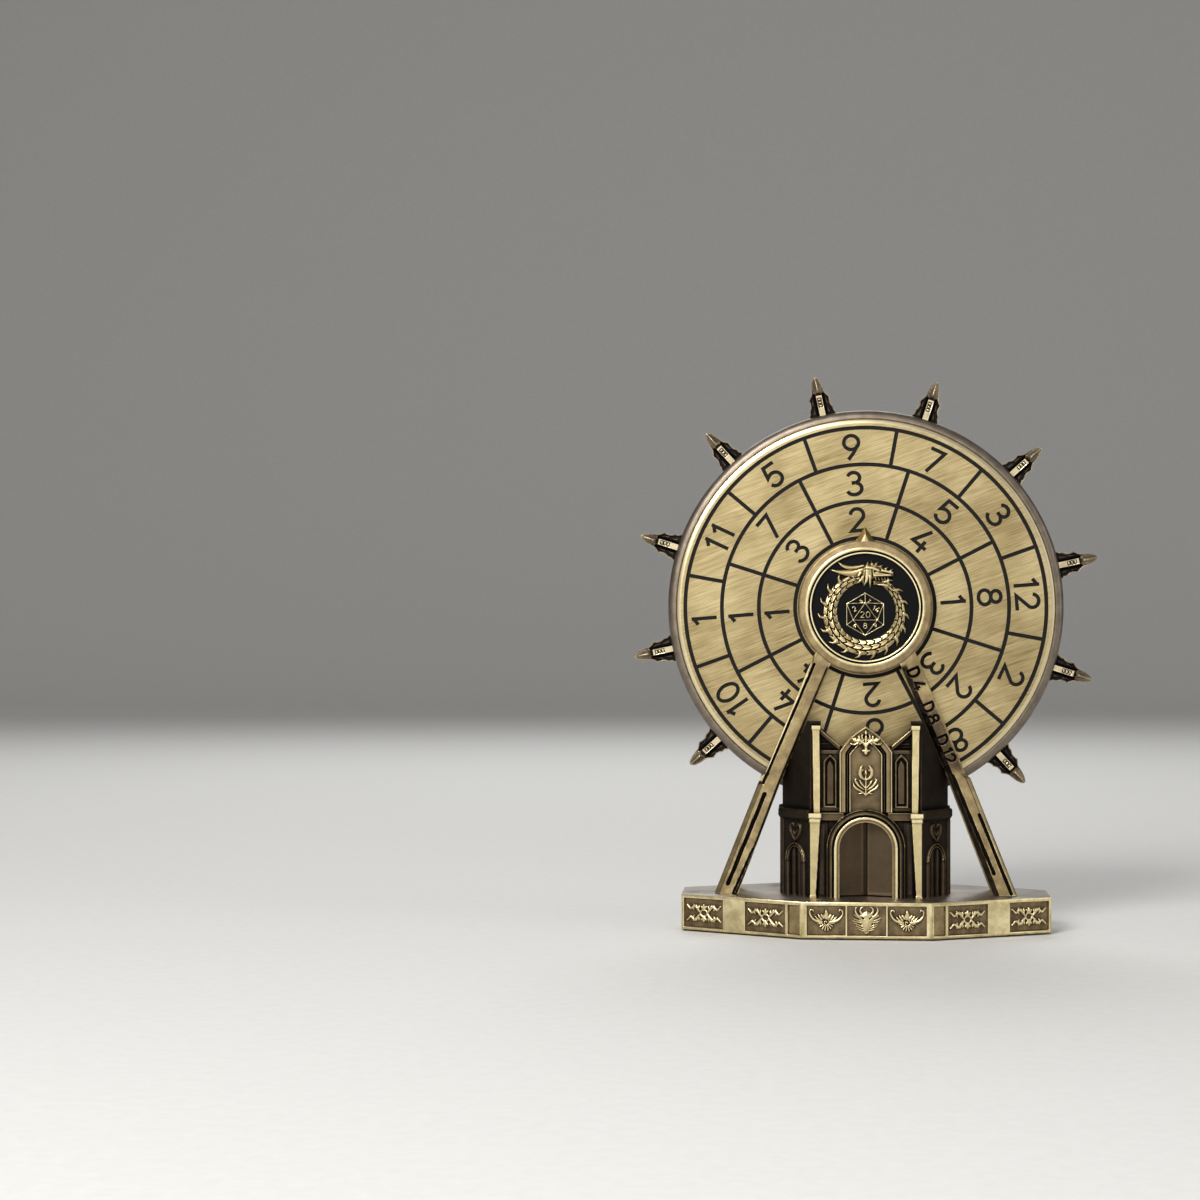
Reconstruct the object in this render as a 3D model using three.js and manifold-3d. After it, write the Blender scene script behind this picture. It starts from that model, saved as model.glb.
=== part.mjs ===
// Antique-brass dice wheel: a numbered wheel that spins on a small ball bearing between two
// A-frames, over a little Gothic gatehouse in two halves, on a long octagonal base.
// Millimetres. +X right, +Y to the back, +Z up. The origin is the middle of the underside.

import * as THREE from 'three';
import { mergeVertices } from 'three/addons/utils/BufferGeometryUtils.js';
import Module from 'manifold-3d';

const wasm = await Module();
wasm.setup();

// ---------------------------------------------------------------- driving dimensions

const GAP = 0.3; // clearance wherever one piece sits in or on another

// base
const BASE_HALF_LENGTH = 36;
const BASE_HALF_DEPTH = 18.4;
const BASE_END_HALF = 6.2; // half the width of each end facet
const BASE_FLAT_HALF = 12.5; // half the length of the front and back facets
const BASE_HEIGHT = 7;
const BASE_WALL = 2;
const BASE_PLATE = 2.5; // thickness of the top plate
const BASE_SHOULDER = 1.2; // width of the ledge that the pad lies against
const PAD_THICKNESS = 1.5;
const PAD_PROUD = 0.3; // how far the pad stands below the casting
const BASE_TOP = BASE_HEIGHT + PAD_PROUD;
const FRIEZE_DEPTH = 0.5;
const FRIEZE_MARGIN_TOP = 0.75;
const FRIEZE_MARGIN_BOTTOM = 0.6;
const FLAT_PANEL_MIDDLES = [-7.7, 0, 7.7];
const FLAT_PANEL_LENGTH = 7.34;
const SLANT_PANELS = [[0.5, 8.8], [14.2, 8.8], [23.55, 2.6]]; // start and length, from the end facet
const END_PANEL_MARGIN = 1;

// wheel
const HUB_HEIGHT = BASE_TOP + 56.4;
const REST_TURN = 4.7; // degrees that the wheel stands turned at rest
const WHEEL_HALF = 3; // half the thickness over the two dials
const RIM_RADIUS = 38.9;
const RIM_HALF = 2.6;
const RIM_CHAMFER = 0.7;
const WEB_HALF = 1.6;
const WHEEL_HUB_RADIUS = 8.2;
const WHEEL_HUB_HALF = 2.3;
const DIAL_RADIUS = 37.15;
const DIAL_THICKNESS = 1.2;
const DIAL_BORE = 8.35;
const DIAL_BEVEL = 0.3;
const RING_RADII = [13.7, 20.85, 28.15, 35.4]; // engraved circles between the number rings
const GROOVE_WIDTH = 0.7;
const GROOVE_DEPTH = 0.35;
const OUTER_CELLS = 12;
const INNER_CELLS = 8;

// finials
const FINIAL_COUNT = 12;
const FINIAL_OFFSET = 7.5; // degrees from a cell's middle to the first finial
const FINIAL_EDGE = [ // half the width of the wings and the tip, with the distance from the hub's axis
  [2.85, 39], [2.42, 40.19], [1.95, 41.28], [2.15, 42.31],
  [1.38, 43.34], [1.15, 44.53], [0.75, 46.05], [0.12, 46.72],
];
const FINIAL_WING_THICKNESS = 0.9;
const FINIAL_RIB_HALF = 0.62;
const FINIAL_RIB_DEPTH = 1.45; // half its depth from front to back
const FINIAL_RIB_END = 43.1;
const FINIAL_TIP_DEPTH = 0.35;
const SPIGOT_RADIUS = 0.7;
const SPIGOT_LENGTH = 1.9;

// A-frames
const FRAME_FACE = 6.2; // distance of the outer face from the wheel's mid-plane
const FRAME_BACK = 3.7;
const RING_OUTER = 13.1;
const RING_FACE = 7.3;
const RECESS_RADIUS = 11.05;
const RECESS_FLOOR = 5.6;
const POINTER_TIP = 15.8; // distance of the tip from the hub's axis
const POINTER_HALF = 1.9; // half its width where it leaves the ring
const LEG_OUTER = [[9.2, 48.8], [19.6, 23.5], [20.45, 22.9], [29.5, 0]]; // from the ring down
const LEG_INNER = [[6.5, 45.9], [16.3, 22.6], [24.9, 0]];
const LEG_GROOVE_DEPTH = 0.4;
const LEFT_SLOTS = [ // both legs are drawn as the right one
  { top: [10.35, 43.5], bottom: [18.6, 23.8], width: 0.6 },
  { top: [19.6, 19.9], bottom: [26.95, 1.7], width: 0.7 },
];
const RIGHT_SLOTS = [
  { top: [17.05, 23.3], bottom: [24.95, 4.2], width: 0.56 },
  { top: [22.15, 15.9], bottom: [28.3, 0.6], width: 0.6 },
];

// medallion
const MEDALLION_RADIUS = 10.75;
const MEDALLION_FACE = 6.55;
const SERPENT_RING = { inner: 5.6, outer: 8.1, proud: 0.55, drop: 1.1 }; // drop: below the hub's axis
const DIE = { radius: 4.1, proud: 0.4, drop: 1.4 };

// gatehouse, heights above the base's top
const CASTLE_FACE = 11.4;
const CASTLE_BACK = 3.8;
const CASTLE_FACE_HALF = 10.8;
const CASTLE_BACK_HALF = 16.5;
const CASTLE_WALL = 1.3;
const STOREY = 15;
const CORNICE_TOP = 16.9;
const CORNICE_PROUD = 0.65;
const UPPER_INSET = 0.4;
const TOWER_TOP = 34.2;
const DECK = 26;
const DECK_THICKNESS = 1.1;
const ARCH_HALF = 5.15;
const ARCH_SPRING = 9.5;
const MOULDING_HALF = 7.75;
const MOULDING_PROUD = 0.7;
const GABLE_HALF = 5.05;
const GABLE_SHOULDER = 28.6;
const GABLE_APEX = 33;
const GABLE_PROUD = 0.8;
const GABLE_PANEL_HALF = 3;
const GABLE_PANEL_SHOULDER = 27.6;
const GABLE_PANEL_APEX = 31;
const WINDOW = { middle: 6.95, half: 0.95, foot: 18.2, shoulder: 25.4, apex: 27 };
const NICHE = { half: 2.5, foot: 0.8, shoulder: 7.2, apex: 11, depth: 0.5 };
const WING_HIGH = 32.3;
const WING_LOW = 29;
const PILLAR_OUTER = 10.35;
const PILLAR_INNER = 8.75;
const PILLAR_PROUD = 0.7;
const PILLAR_TOP = 33.2;
const FOOT_INNER = 9.7; // the lower pillar's inner edge where it stands
const FOOT_OUTER = 10.75;
const CAP_OUTER = 11.1;
const BOSS_RADIUS = 1.7;
const BOSS_HEIGHT = 8;
const LEAF_THICKNESS = 0.6;
const LEAF_SWING = 1.7; // how far a gate leaf's free edge stands behind its hinge
const LEAF_GAP_HALF = 0.4;

// bearing, axle and screws
const BORE = 3.15;
const INNER_RACE = 4.3;
const OUTER_RACE_BORE = 5.35;
const OUTER_RACE = 6.35;
const RACE_HALF = 2.38;
const BALL_RADIUS = 0.78;
const BALL_COUNT = 8;
const BALL_PITCH = 4.82;
const CAGE_INNER = 4.55;
const CAGE_OUTER = 5.1;
const CAGE_HALF = 0.45;
const SHIELD_INNER = 4.45;
const SHIELD_OUTER = 5.2;
const SHIELD_FACE = 2.3;
const SHIELD_THICKNESS = 0.2;
const AXLE_RADIUS = 3.02;
const AXLE_HALF = 3.4;
const NOSE_RADIUS = 4.15;
const NOSE_FACE = 2.5;
const SCREW_RADIUS = 1.1;
const SCREW_HEAD = 2.3;
const SCREW_FACE = 5.5; // distance of the axle screw's head from the wheel's mid-plane
const SCREW_SEAT = 4.65;
const SCREW_END = 0.5;
const SLOT_WIDTH = 0.5;
const SLOT_DEPTH = 0.4;
const SMALL_SCREW_RADIUS = 0.65;
const SMALL_SCREW_HEAD = 1.5;
const SMALL_HEAD_HEIGHT = 1.1;
const SMALL_SOCKET_RADIUS = 0.6;
const HOLE_CLEARANCE = 0.1; // around a screw's shank
const FRAME_SCREW_X = 26.75;
const FRAME_SCREW_DEPTH = 2.6;
const CASTLE_SCREW = [12.2, 6.6];
const CASTLE_SCREW_DEPTH = 5;

const ROUND = 48; // segments of the largest circles
const DIAL_SEGMENTS = 48;
const FINE = 40;
const RACE_SEGMENTS = 32;
const SMALL = 12;

// ---------------------------------------------------------------- geometry helpers

const radians = THREE.MathUtils.degToRad;

function signedVolume(geometry) {
  const p = geometry.attributes.position;
  const index = geometry.index.array;
  const [a, b, c] = [new THREE.Vector3(), new THREE.Vector3(), new THREE.Vector3()];
  let sum = 0;
  for (let i = 0; i < index.length; i += 3) {
    a.fromBufferAttribute(p, index[i]);
    b.fromBufferAttribute(p, index[i + 1]);
    c.fromBufferAttribute(p, index[i + 2]);
    sum += a.dot(b.cross(c));
  }
  return sum / 6;
}

// A three.js geometry as a manifold solid, with its faces turned outward.
function solid(geometry) {
  const bare = new THREE.BufferGeometry();
  bare.setAttribute('position', geometry.attributes.position);
  bare.setIndex(geometry.index);
  const merged = mergeVertices(bare, 1e-4);
  const index = Array.from(merged.index.array);
  if (signedVolume(merged) < 0) index.reverse();
  const kept = [];
  for (let i = 0; i < index.length; i += 3) {
    const [a, b, c] = index.slice(i, i + 3);
    if (a !== b && b !== c && c !== a) kept.push(a, b, c);
  }
  return new wasm.Manifold(new wasm.Mesh({
    numProp: 3,
    vertProperties: new Float32Array(merged.attributes.position.array),
    triVerts: new Uint32Array(kept),
  }));
}

function geometryOf(manifold) {
  const { vertProperties, triVerts } = manifold.getMesh();
  const geometry = new THREE.BufferGeometry();
  geometry.setAttribute('position', new THREE.BufferAttribute(new Float32Array(vertProperties), 3));
  geometry.setIndex(new THREE.BufferAttribute(new Uint32Array(triVerts), 1));
  geometry.computeVertexNormals();
  return geometry;
}

const join = (parts) => parts.reduce((sum, part) => sum.add(part));
const cut = (body, tools) => tools.reduce((rest, tool) => rest.subtract(tool), body);

function outline(points) {
  return new THREE.Shape(points.map(([x, y]) => new THREE.Vector2(x, y)));
}

// An upright plate: an outline drawn in X and Z, between two distances in front of the mid-plane.
function plate(shape, front, back, curveSegments = 8) {
  const depth = front - back;
  const geometry = new THREE.ExtrudeGeometry(shape, { depth, bevelEnabled: false, curveSegments });
  geometry.rotateX(Math.PI / 2);
  geometry.translate(0, -back, 0);
  return solid(geometry);
}

// A level slab: an outline drawn in X and Y, between two heights.
function slab(points, low, high) {
  const shape = outline(points);
  const geometry = new THREE.ExtrudeGeometry(shape, { depth: high - low, bevelEnabled: false });
  geometry.translate(0, 0, low);
  return solid(geometry);
}

// A body turned about the Y axis through the hub. The profile is [radius, y] and closes on itself.
function turned(profile, segments) {
  const points = profile.map(([r, y]) => new THREE.Vector2(r, y));
  points.push(points[0].clone());
  return solid(new THREE.LatheGeometry(points, segments));
}

function tube(inner, outer, low, high, segments) {
  return turned([[inner, low], [outer, low], [outer, high], [inner, high]], segments);
}

// A cylinder along Y.
function rod(radius, low, high, segments = SMALL) {
  const geometry = new THREE.CylinderGeometry(radius, radius, high - low, segments);
  geometry.translate(0, (low + high) / 2, 0);
  return solid(geometry);
}

// A cylinder along Z.
function post(x, y, radius, low, high, segments = SMALL) {
  const geometry = new THREE.CylinderGeometry(radius, radius, high - low, segments);
  geometry.rotateX(Math.PI / 2);
  geometry.translate(x, y, (low + high) / 2);
  return solid(geometry);
}

function box(low, high) {
  const size = high.map((value, axis) => value - low[axis]);
  const geometry = new THREE.BoxGeometry(...size);
  geometry.translate(...low.map((value, axis) => value + size[axis] / 2));
  return solid(geometry);
}

const lift = (manifold, height) => manifold.translate([0, 0, height]);
const halfTurn = (manifold) => manifold.rotate([0, 0, 180]);
const mirrorX = (manifold) => manifold.mirror([1, 0, 0]);
const mirrorPoints = (points) => points.map(([x, y]) => [-x, y]);

// ---------------------------------------------------------------- base

// The octagon of the base, moved inward by an inset.
function baseOutline(inset = 0) {
  const across = BASE_HALF_DEPTH - BASE_END_HALF;
  const slant = new THREE.Vector2(across, BASE_HALF_LENGTH - BASE_FLAT_HALF).normalize();
  const x = BASE_HALF_LENGTH - inset;
  const y = BASE_HALF_DEPTH - inset;
  const reach = slant.x * BASE_HALF_LENGTH + slant.y * BASE_END_HALF - inset;
  const end = (reach - slant.x * x) / slant.y;
  const flat = (reach - slant.y * y) / slant.x;
  const quarter = [[x, end], [flat, y]];
  const upper = [...quarter, ...mirrorPoints(quarter).reverse()];
  return [...upper, ...upper.map(([px, py]) => [-px, -py])];
}

// Recessed panels of one facet. Each panel is [start, length] along the facet from its first corner.
function facetPanels(from, to, panels) {
  const start = new THREE.Vector2(...from);
  const along = new THREE.Vector2(...to).sub(start).normalize();
  const angle = Math.atan2(along.y, along.x);
  const low = PAD_PROUD + FRIEZE_MARGIN_BOTTOM;
  const high = BASE_TOP - FRIEZE_MARGIN_TOP;
  return panels.map(([offset, length]) => {
    const geometry = new THREE.BoxGeometry(length, FRIEZE_DEPTH * 2, high - low);
    geometry.rotateZ(angle);
    const middle = start.clone().addScaledVector(along, offset + length / 2);
    geometry.translate(middle.x, middle.y, (low + high) / 2);
    return solid(geometry);
  });
}

function friezePanels() {
  const [east, north] = baseOutline();
  const first = BASE_FLAT_HALF - FLAT_PANEL_LENGTH / 2;
  const flat = FLAT_PANEL_MIDDLES.map((x) => [first + x, FLAT_PANEL_LENGTH]);
  const end = [[END_PANEL_MARGIN, 2 * (BASE_END_HALF - END_PANEL_MARGIN)]];
  const backRight = facetPanels(east, north, SLANT_PANELS);
  const quarter = backRight.concat(backRight.map(mirrorX));
  const half = quarter.concat(facetPanels(north, [-north[0], north[1]], flat));
  const ends = facetPanels([east[0], -east[1]], east, end);
  return half.concat(half.map(halfTurn), ends, ends.map(mirrorX));
}

function screwPlaces() {
  const quarter = [[FRAME_SCREW_X, (FRAME_FACE + FRAME_BACK) / 2], CASTLE_SCREW];
  return quarter.flatMap(([x, y]) => [[x, y], [-x, y], [x, -y], [-x, -y]]);
}

function baseCasting() {
  const ledge = PAD_THICKNESS + GAP;
  const body = slab(baseOutline(), PAD_PROUD, BASE_TOP);
  const pocket = slab(baseOutline(BASE_WALL), PAD_PROUD - 1, ledge);
  const hollow = slab(baseOutline(BASE_WALL + BASE_SHOULDER), PAD_PROUD - 1, BASE_TOP - BASE_PLATE);
  const radius = SMALL_SCREW_RADIUS + HOLE_CLEARANCE;
  const holes = screwPlaces().map(([x, y]) => post(x, y, radius, 1, BASE_TOP + 1));
  return cut(body, [pocket, hollow, ...holes, ...friezePanels()]);
}

function basePad() {
  return slab(baseOutline(BASE_WALL + GAP), 0, PAD_THICKNESS);
}

// ---------------------------------------------------------------- A-frames

function legOutline() {
  return [...LEG_OUTER, ...[...LEG_INNER].reverse()];
}

// Distance of the legs' inner edges from the middle, at a height above the base.
function innerEdge(height) {
  const upper = LEG_INNER.findIndex(([, z], i) => i > 0 && height >= z);
  const [[x0, z0], [x1, z1]] = LEG_INNER.slice(upper - 1, upper + 1);
  return x0 + ((z0 - height) / (z0 - z1)) * (x1 - x0);
}

// A square-ended slot that follows the leg.
function legSlot({ top, bottom, width }) {
  const [high, low] = [top, bottom].map(([x, z]) => new THREE.Vector2(x, z));
  const side = low.clone().sub(high).normalize().rotateAround(new THREE.Vector2(), Math.PI / 2);
  side.multiplyScalar(width / 2);
  const right = [high.clone().add(side), low.clone().add(side)];
  const left = [low.clone().sub(side), high.clone().sub(side)];
  const shape = new THREE.Shape([...right, ...left]);
  return plate(shape, FRAME_FACE + 1, FRAME_FACE - LEG_GROOVE_DEPTH);
}

// A round boss on the hub with a socket for the axle end and a seat for its screw.
function hubBoss() {
  const ring = rod(RING_OUTER, -RING_FACE, -FRAME_BACK, FINE);
  const nose = rod(NOSE_RADIUS, -FRAME_BACK - 0.5, -NOSE_FACE, FINE);
  return ring.add(nose);
}

function pointer() {
  const root = RING_OUTER - 0.6;
  const shape = outline([[-POINTER_HALF, root], [POINTER_HALF, root], [0, POINTER_TIP]]);
  return plate(shape, RING_FACE - 0.4, FRAME_BACK + 0.6);
}

function frame() {
  const legs = plate(outline(legOutline()), FRAME_FACE, FRAME_BACK);
  const left = mirrorX(cut(legs, LEFT_SLOTS.map(legSlot)));
  const right = cut(legs, RIGHT_SLOTS.map(legSlot));
  const head = join([lift(hubBoss(), HUB_HEIGHT), lift(pointer(), HUB_HEIGHT)]);
  const screwHoles = [-1, 1].map((side) => post(
    side * FRAME_SCREW_X, -(FRAME_FACE + FRAME_BACK) / 2, SMALL_SCREW_RADIUS + HOLE_CLEARANCE,
    BASE_TOP - 1, BASE_TOP + FRAME_SCREW_DEPTH + GAP));
  const inside = -NOSE_FACE + 1;
  const sockets = [
    rod(RECESS_RADIUS, -RING_FACE - 1, -RECESS_FLOOR, FINE),
    rod(SCREW_HEAD + GAP, -RECESS_FLOOR - 1, -SCREW_SEAT),
    rod(SCREW_RADIUS + HOLE_CLEARANCE, -SCREW_FACE, inside),
    rod(AXLE_RADIUS + HOLE_CLEARANCE, -AXLE_HALF - HOLE_CLEARANCE, inside, 24),
  ].map((tool) => lift(tool, HUB_HEIGHT));
  const foot = GAP / 3;
  const body = join([lift(left, BASE_TOP + foot), lift(right, BASE_TOP + foot), head]);
  return cut(body, [...sockets, ...screwHoles]);
}

// ---------------------------------------------------------------- medallion

// A disc with a raised ring and, inside it, the six-sided outline of a die.
function medallion() {
  const disc = rod(MEDALLION_RADIUS, -MEDALLION_FACE, -RECESS_FLOOR - 0.1, FINE);
  const back = -MEDALLION_FACE + 0.2;
  const { inner, outer, proud, drop } = SERPENT_RING;
  const ring = lift(tube(inner, outer, -MEDALLION_FACE - proud, back, 24), -drop);
  const die = lift(rod(DIE.radius, -MEDALLION_FACE - DIE.proud, back, 6), -DIE.drop);
  return lift(join([disc, ring, die]), HUB_HEIGHT);
}

// ---------------------------------------------------------------- gatehouse

const SKYLINE_DEPTH = 2.2; // how far back the gable and the leaning roofs are cut out of the walls
const LEG_CLEARANCE = 0.45; // between the towers and the legs that lean over them
const FLANK_SLOPE = (CASTLE_BACK_HALF - CASTLE_FACE_HALF) / (CASTLE_FACE - CASTLE_BACK);

// How far out a flank stands at a distance in front of the mid-plane, after an inset.
function flankAt(distance, inset) {
  return CASTLE_FACE_HALF + (CASTLE_FACE - distance) * FLANK_SLOPE - inset * Math.hypot(1, FLANK_SLOPE);
}

function castlePlan(inset, back = CASTLE_BACK) {
  const front = CASTLE_FACE - inset;
  const face = flankAt(front, inset);
  const rear = flankAt(back, inset);
  return [[-face, -front], [face, -front], [rear, -back], [-rear, -back]];
}

function archShape(half, spring, foot = 0) {
  const shape = new THREE.Shape();
  shape.moveTo(-half, foot);
  shape.lineTo(half, foot);
  shape.lineTo(half, spring);
  shape.absarc(0, spring, half, 0, Math.PI, false);
  shape.closePath();
  return shape;
}

// A pointed arch: two arcs that meet above the springing.
function gothicShape(x, half, foot, spring, apex) {
  const rise = apex - spring;
  const bulge = half * 0.55;
  const shape = new THREE.Shape();
  shape.moveTo(x - half, foot);
  shape.lineTo(x + half, foot);
  shape.lineTo(x + half, spring);
  shape.quadraticCurveTo(x + bulge, spring + rise * 0.7, x, apex);
  shape.quadraticCurveTo(x - bulge, spring + rise * 0.7, x - half, spring);
  shape.closePath();
  return shape;
}

function castleWalls() {
  const lower = slab(castlePlan(0), 0, STOREY + 0.5);
  const cornice = slab(castlePlan(-CORNICE_PROUD), STOREY, CORNICE_TOP);
  const upper = slab(castlePlan(UPPER_INSET), CORNICE_TOP - 0.5, TOWER_TOP);
  const lowerHollow = slab(castlePlan(CASTLE_WALL, 0), -1, STOREY - 0.4);
  const inner = castlePlan(UPPER_INSET + CASTLE_WALL, 0);
  const upperHollow = slab(inner, STOREY + 0.9, DECK);
  const terrace = slab(inner, DECK + DECK_THICKNESS, TOWER_TOP + 1);
  return cut(join([lower, cornice, upper]), [lowerHollow, upperHollow, terrace]);
}

// What is cut from the facade's top, so that it follows the gable and the two leaning roofs.
function skyline() {
  const high = TOWER_TOP + 1;
  const eaves = [[PILLAR_INNER, WING_HIGH], [GABLE_HALF, WING_LOW]];
  const wing = [...eaves, [GABLE_HALF, high], [PILLAR_INNER, high]];
  const shoulder = [GABLE_HALF - 0.2, GABLE_SHOULDER + 0.2];
  const gable = [[0, high], [0, GABLE_APEX - 0.3], shoulder, [GABLE_HALF + 0.1, high]];
  const right = [wing, gable].map((points) => (
    plate(outline(points), CASTLE_FACE + 2, CASTLE_FACE - SKYLINE_DEPTH)));
  return right.concat(right.map(mirrorX));
}

// The legs lean past the towers, so the towers' outer flanks are cut back along them.
function legClearance() {
  const edge = (height) => innerEdge(height) - LEG_CLEARANCE;
  const high = TOWER_TOP + 1;
  const low = CORNICE_TOP + 0.4;
  const far = CASTLE_BACK_HALF * 2;
  const wedge = [[edge(low), low], [far, low], [far, high], [edge(high), high]];
  const right = plate(outline(wedge), CASTLE_FACE + 2, CASTLE_BACK - 2);
  return [right, mirrorX(right)];
}

function pillar() {
  const front = CASTLE_FACE + PILLAR_PROUD;
  const back = CASTLE_FACE - 1;
  const shaft = plate(outline([
    [PILLAR_INNER, STOREY + 1], [PILLAR_OUTER, STOREY + 1],
    [PILLAR_OUTER, PILLAR_TOP], [PILLAR_INNER, PILLAR_TOP],
  ]), front - 0.2, back);
  const cap = box([PILLAR_INNER - 0.2, -front - 0.3, STOREY - 0.2], [CAP_OUTER, -back, STOREY + 1.5]);
  const foot = plate(outline([
    [FOOT_INNER, 0], [FOOT_OUTER, 0], [FOOT_OUTER, STOREY], [PILLAR_INNER + 0.1, STOREY],
  ]), front, back);
  return [shaft, cap, foot];
}

function facade() {
  const face = CASTLE_FACE;
  const archRing = plate(archShape(MOULDING_HALF, ARCH_SPRING), face + MOULDING_PROUD, face - 1, 10);
  const gable = plate(
    gothicShape(0, GABLE_HALF, STOREY, GABLE_SHOULDER, GABLE_APEX), face + GABLE_PROUD, face - 1, 6);
  const panelShape = gothicShape(
    0, GABLE_PANEL_HALF, CORNICE_TOP + 0.2, GABLE_PANEL_SHOULDER, GABLE_PANEL_APEX);
  const panel = plate(panelShape, face + 3, face + GABLE_PROUD - 0.5, 6);
  const { middle, half, foot, shoulder, apex } = WINDOW;
  const windows = [-1, 1].map((side) => plate(
    gothicShape(side * middle, half, foot, shoulder, apex), face + 2, face - UPPER_INSET - 0.5, 4));
  const pillars = pillar();
  const added = [gable, archRing, ...pillars, ...pillars.map(mirrorX)];
  const opening = plate(archShape(ARCH_HALF, ARCH_SPRING, -1), face + 3, face - 4, 10);
  return { added, removed: [panel, ...windows, opening] };
}

// A pointed niche in the middle of a flank, drawn on a straight wall and swung onto the slant.
function flankNiche() {
  const width = CASTLE_BACK_HALF - CASTLE_FACE_HALF;
  const depth = CASTLE_FACE - CASTLE_BACK;
  const angle = (Math.atan2(depth, width) * 180) / Math.PI;
  const shape = gothicShape(0, NICHE.half, NICHE.foot, NICHE.shoulder, NICHE.apex);
  const niche = plate(shape, NICHE.depth, -NICHE.depth, 5);
  return niche.rotate([0, 0, angle]).translate([
    (CASTLE_BACK_HALF + CASTLE_FACE_HALF) / 2, -(CASTLE_FACE + CASTLE_BACK) / 2, 0]);
}

function castleHalf() {
  const { added, removed } = facade();
  const bosses = [-1, 1].map((side) => post(
    side * CASTLE_SCREW[0], -CASTLE_SCREW[1], BOSS_RADIUS, 0, BOSS_HEIGHT));
  const shaped = cut(castleWalls(), [...skyline(), ...legClearance()]);
  const niches = [flankNiche(), mirrorX(flankNiche())];
  const holes = [-1, 1].map((side) => post(
    side * CASTLE_SCREW[0], -CASTLE_SCREW[1], SMALL_SCREW_RADIUS + HOLE_CLEARANCE,
    -1, CASTLE_SCREW_DEPTH + GAP));
  const body = cut(join([shaped, ...bosses, ...added]), [...removed, ...niches, ...holes]);
  return lift(body, BASE_TOP + GAP / 3);
}

// One leaf of the gate, standing ajar: its outer edge behind the arch, its inner edge further back.
function gateLeaf() {
  const hinge = [-(ARCH_HALF + 0.7), -(CASTLE_FACE - CASTLE_WALL - GAP)];
  const edge = [-LEAF_GAP_HALF, hinge[1] + LEAF_SWING];
  const back = [edge, hinge].map(([x, y]) => [x, y + LEAF_THICKNESS]);
  return slab([hinge, edge, ...back], BASE_TOP + GAP, BASE_TOP + STOREY - 0.4 - GAP);
}

// ---------------------------------------------------------------- wheel

function wheelBody() {
  const rim = RIM_RADIUS;
  const inner = DIAL_RADIUS + 0.15;
  const bore = OUTER_RACE + 0.1;
  const hub = WHEEL_HUB_RADIUS;
  const rear = [
    [rim, RIM_HALF - RIM_CHAMFER], [rim - RIM_CHAMFER, RIM_HALF], [inner, RIM_HALF],
    [inner, WEB_HALF], [hub, WEB_HALF], [hub, WHEEL_HUB_HALF], [bore, WHEEL_HUB_HALF],
  ];
  const profile = [...rear.map(([r, y]) => [r, -y]).reverse(), ...rear];
  const sockets = finialAngles().map((angle) => radialRod(
    SPIGOT_RADIUS + 0.1, RIM_RADIUS - SPIGOT_LENGTH - 0.1, RIM_RADIUS + 1, angle));
  return cut(turned(profile, ROUND), sockets);
}

function finialAngles() {
  return Array.from({ length: FINIAL_COUNT }, (_, i) => FINIAL_OFFSET + (i * 360) / FINIAL_COUNT);
}

// Turns something drawn pointing up until it points at an angle counted from +X towards +Z.
const pointAt = (manifold, angle) => manifold.rotate([0, 90 - angle, 0]);

function radialRod(radius, from, to, angle) {
  return pointAt(post(0, 0, radius, from, to, 10), angle);
}

// A brass face with a bevelled edge, engraved circles and engraved lines between its number cells.
function dial() {
  const face = -WHEEL_HALF;
  const back = -WHEEL_HALF + DIAL_THICKNESS;
  const half = GROOVE_WIDTH / 2;
  const grooves = RING_RADII.flatMap((radius) => [
    [radius - half, face], [radius, face + GROOVE_DEPTH], [radius + half, face]]);
  const rim = DIAL_RADIUS;
  const edge = [[rim - DIAL_BEVEL, face], [rim, face + DIAL_BEVEL], [rim, back]];
  const profile = [[DIAL_BORE, back], [DIAL_BORE, face], ...grooves, ...edge];
  const [hubRing, innerRing, middleRing, outerRing] = RING_RADII;
  const lines = [
    ...cellLines(OUTER_CELLS, middleRing, outerRing),
    ...cellLines(INNER_CELLS, innerRing, middleRing),
    ...cellLines(INNER_CELLS, hubRing, innerRing),
  ];
  return cut(turned(profile, DIAL_SEGMENTS), lines);
}

function cellLines(count, from, to) {
  const half = GROOVE_WIDTH / 2;
  const depth = GROOVE_DEPTH * 0.8;
  return Array.from({ length: count }, (_, i) => {
    const line = box([-half, -WHEEL_HALF - 1, from], [half, -WHEEL_HALF + depth, to]);
    return pointAt(line, 90 + ((i + 0.5) * 360) / count);
  });
}

// ---------------------------------------------------------------- finial

// Two thin jagged wings either side of a rib, and a spigot that sits in the rim.
function finial() {
  const thick = FINIAL_WING_THICKNESS / 2;
  const silhouette = outline([...FINIAL_EDGE, ...mirrorPoints(FINIAL_EDGE).reverse()]);
  const wing = plate(silhouette, thick, -thick);
  const root = RIM_RADIUS - 0.35;
  const tip = FINIAL_EDGE.at(-1)[1];
  const right = [[FINIAL_RIB_DEPTH, root], [FINIAL_RIB_DEPTH, FINIAL_RIB_END], [FINIAL_TIP_DEPTH, tip]];
  const profile = outline([...right, ...mirrorPoints(right).reverse()]);
  const rib = plate(profile, FINIAL_RIB_HALF, -FINIAL_RIB_HALF).rotate([0, 0, 90]);
  const deep = plate(silhouette, FINIAL_RIB_DEPTH + 1, -FINIAL_RIB_DEPTH - 1);
  const clear = rod(RIM_RADIUS + 0.12, -4, 4, ROUND);
  const spigot = post(0, 0, SPIGOT_RADIUS, RIM_RADIUS - SPIGOT_LENGTH, RIM_RADIUS + 1, 10);
  return wing.add(rib.intersect(deep)).subtract(clear).add(spigot);
}

// ---------------------------------------------------------------- bearing

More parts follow.
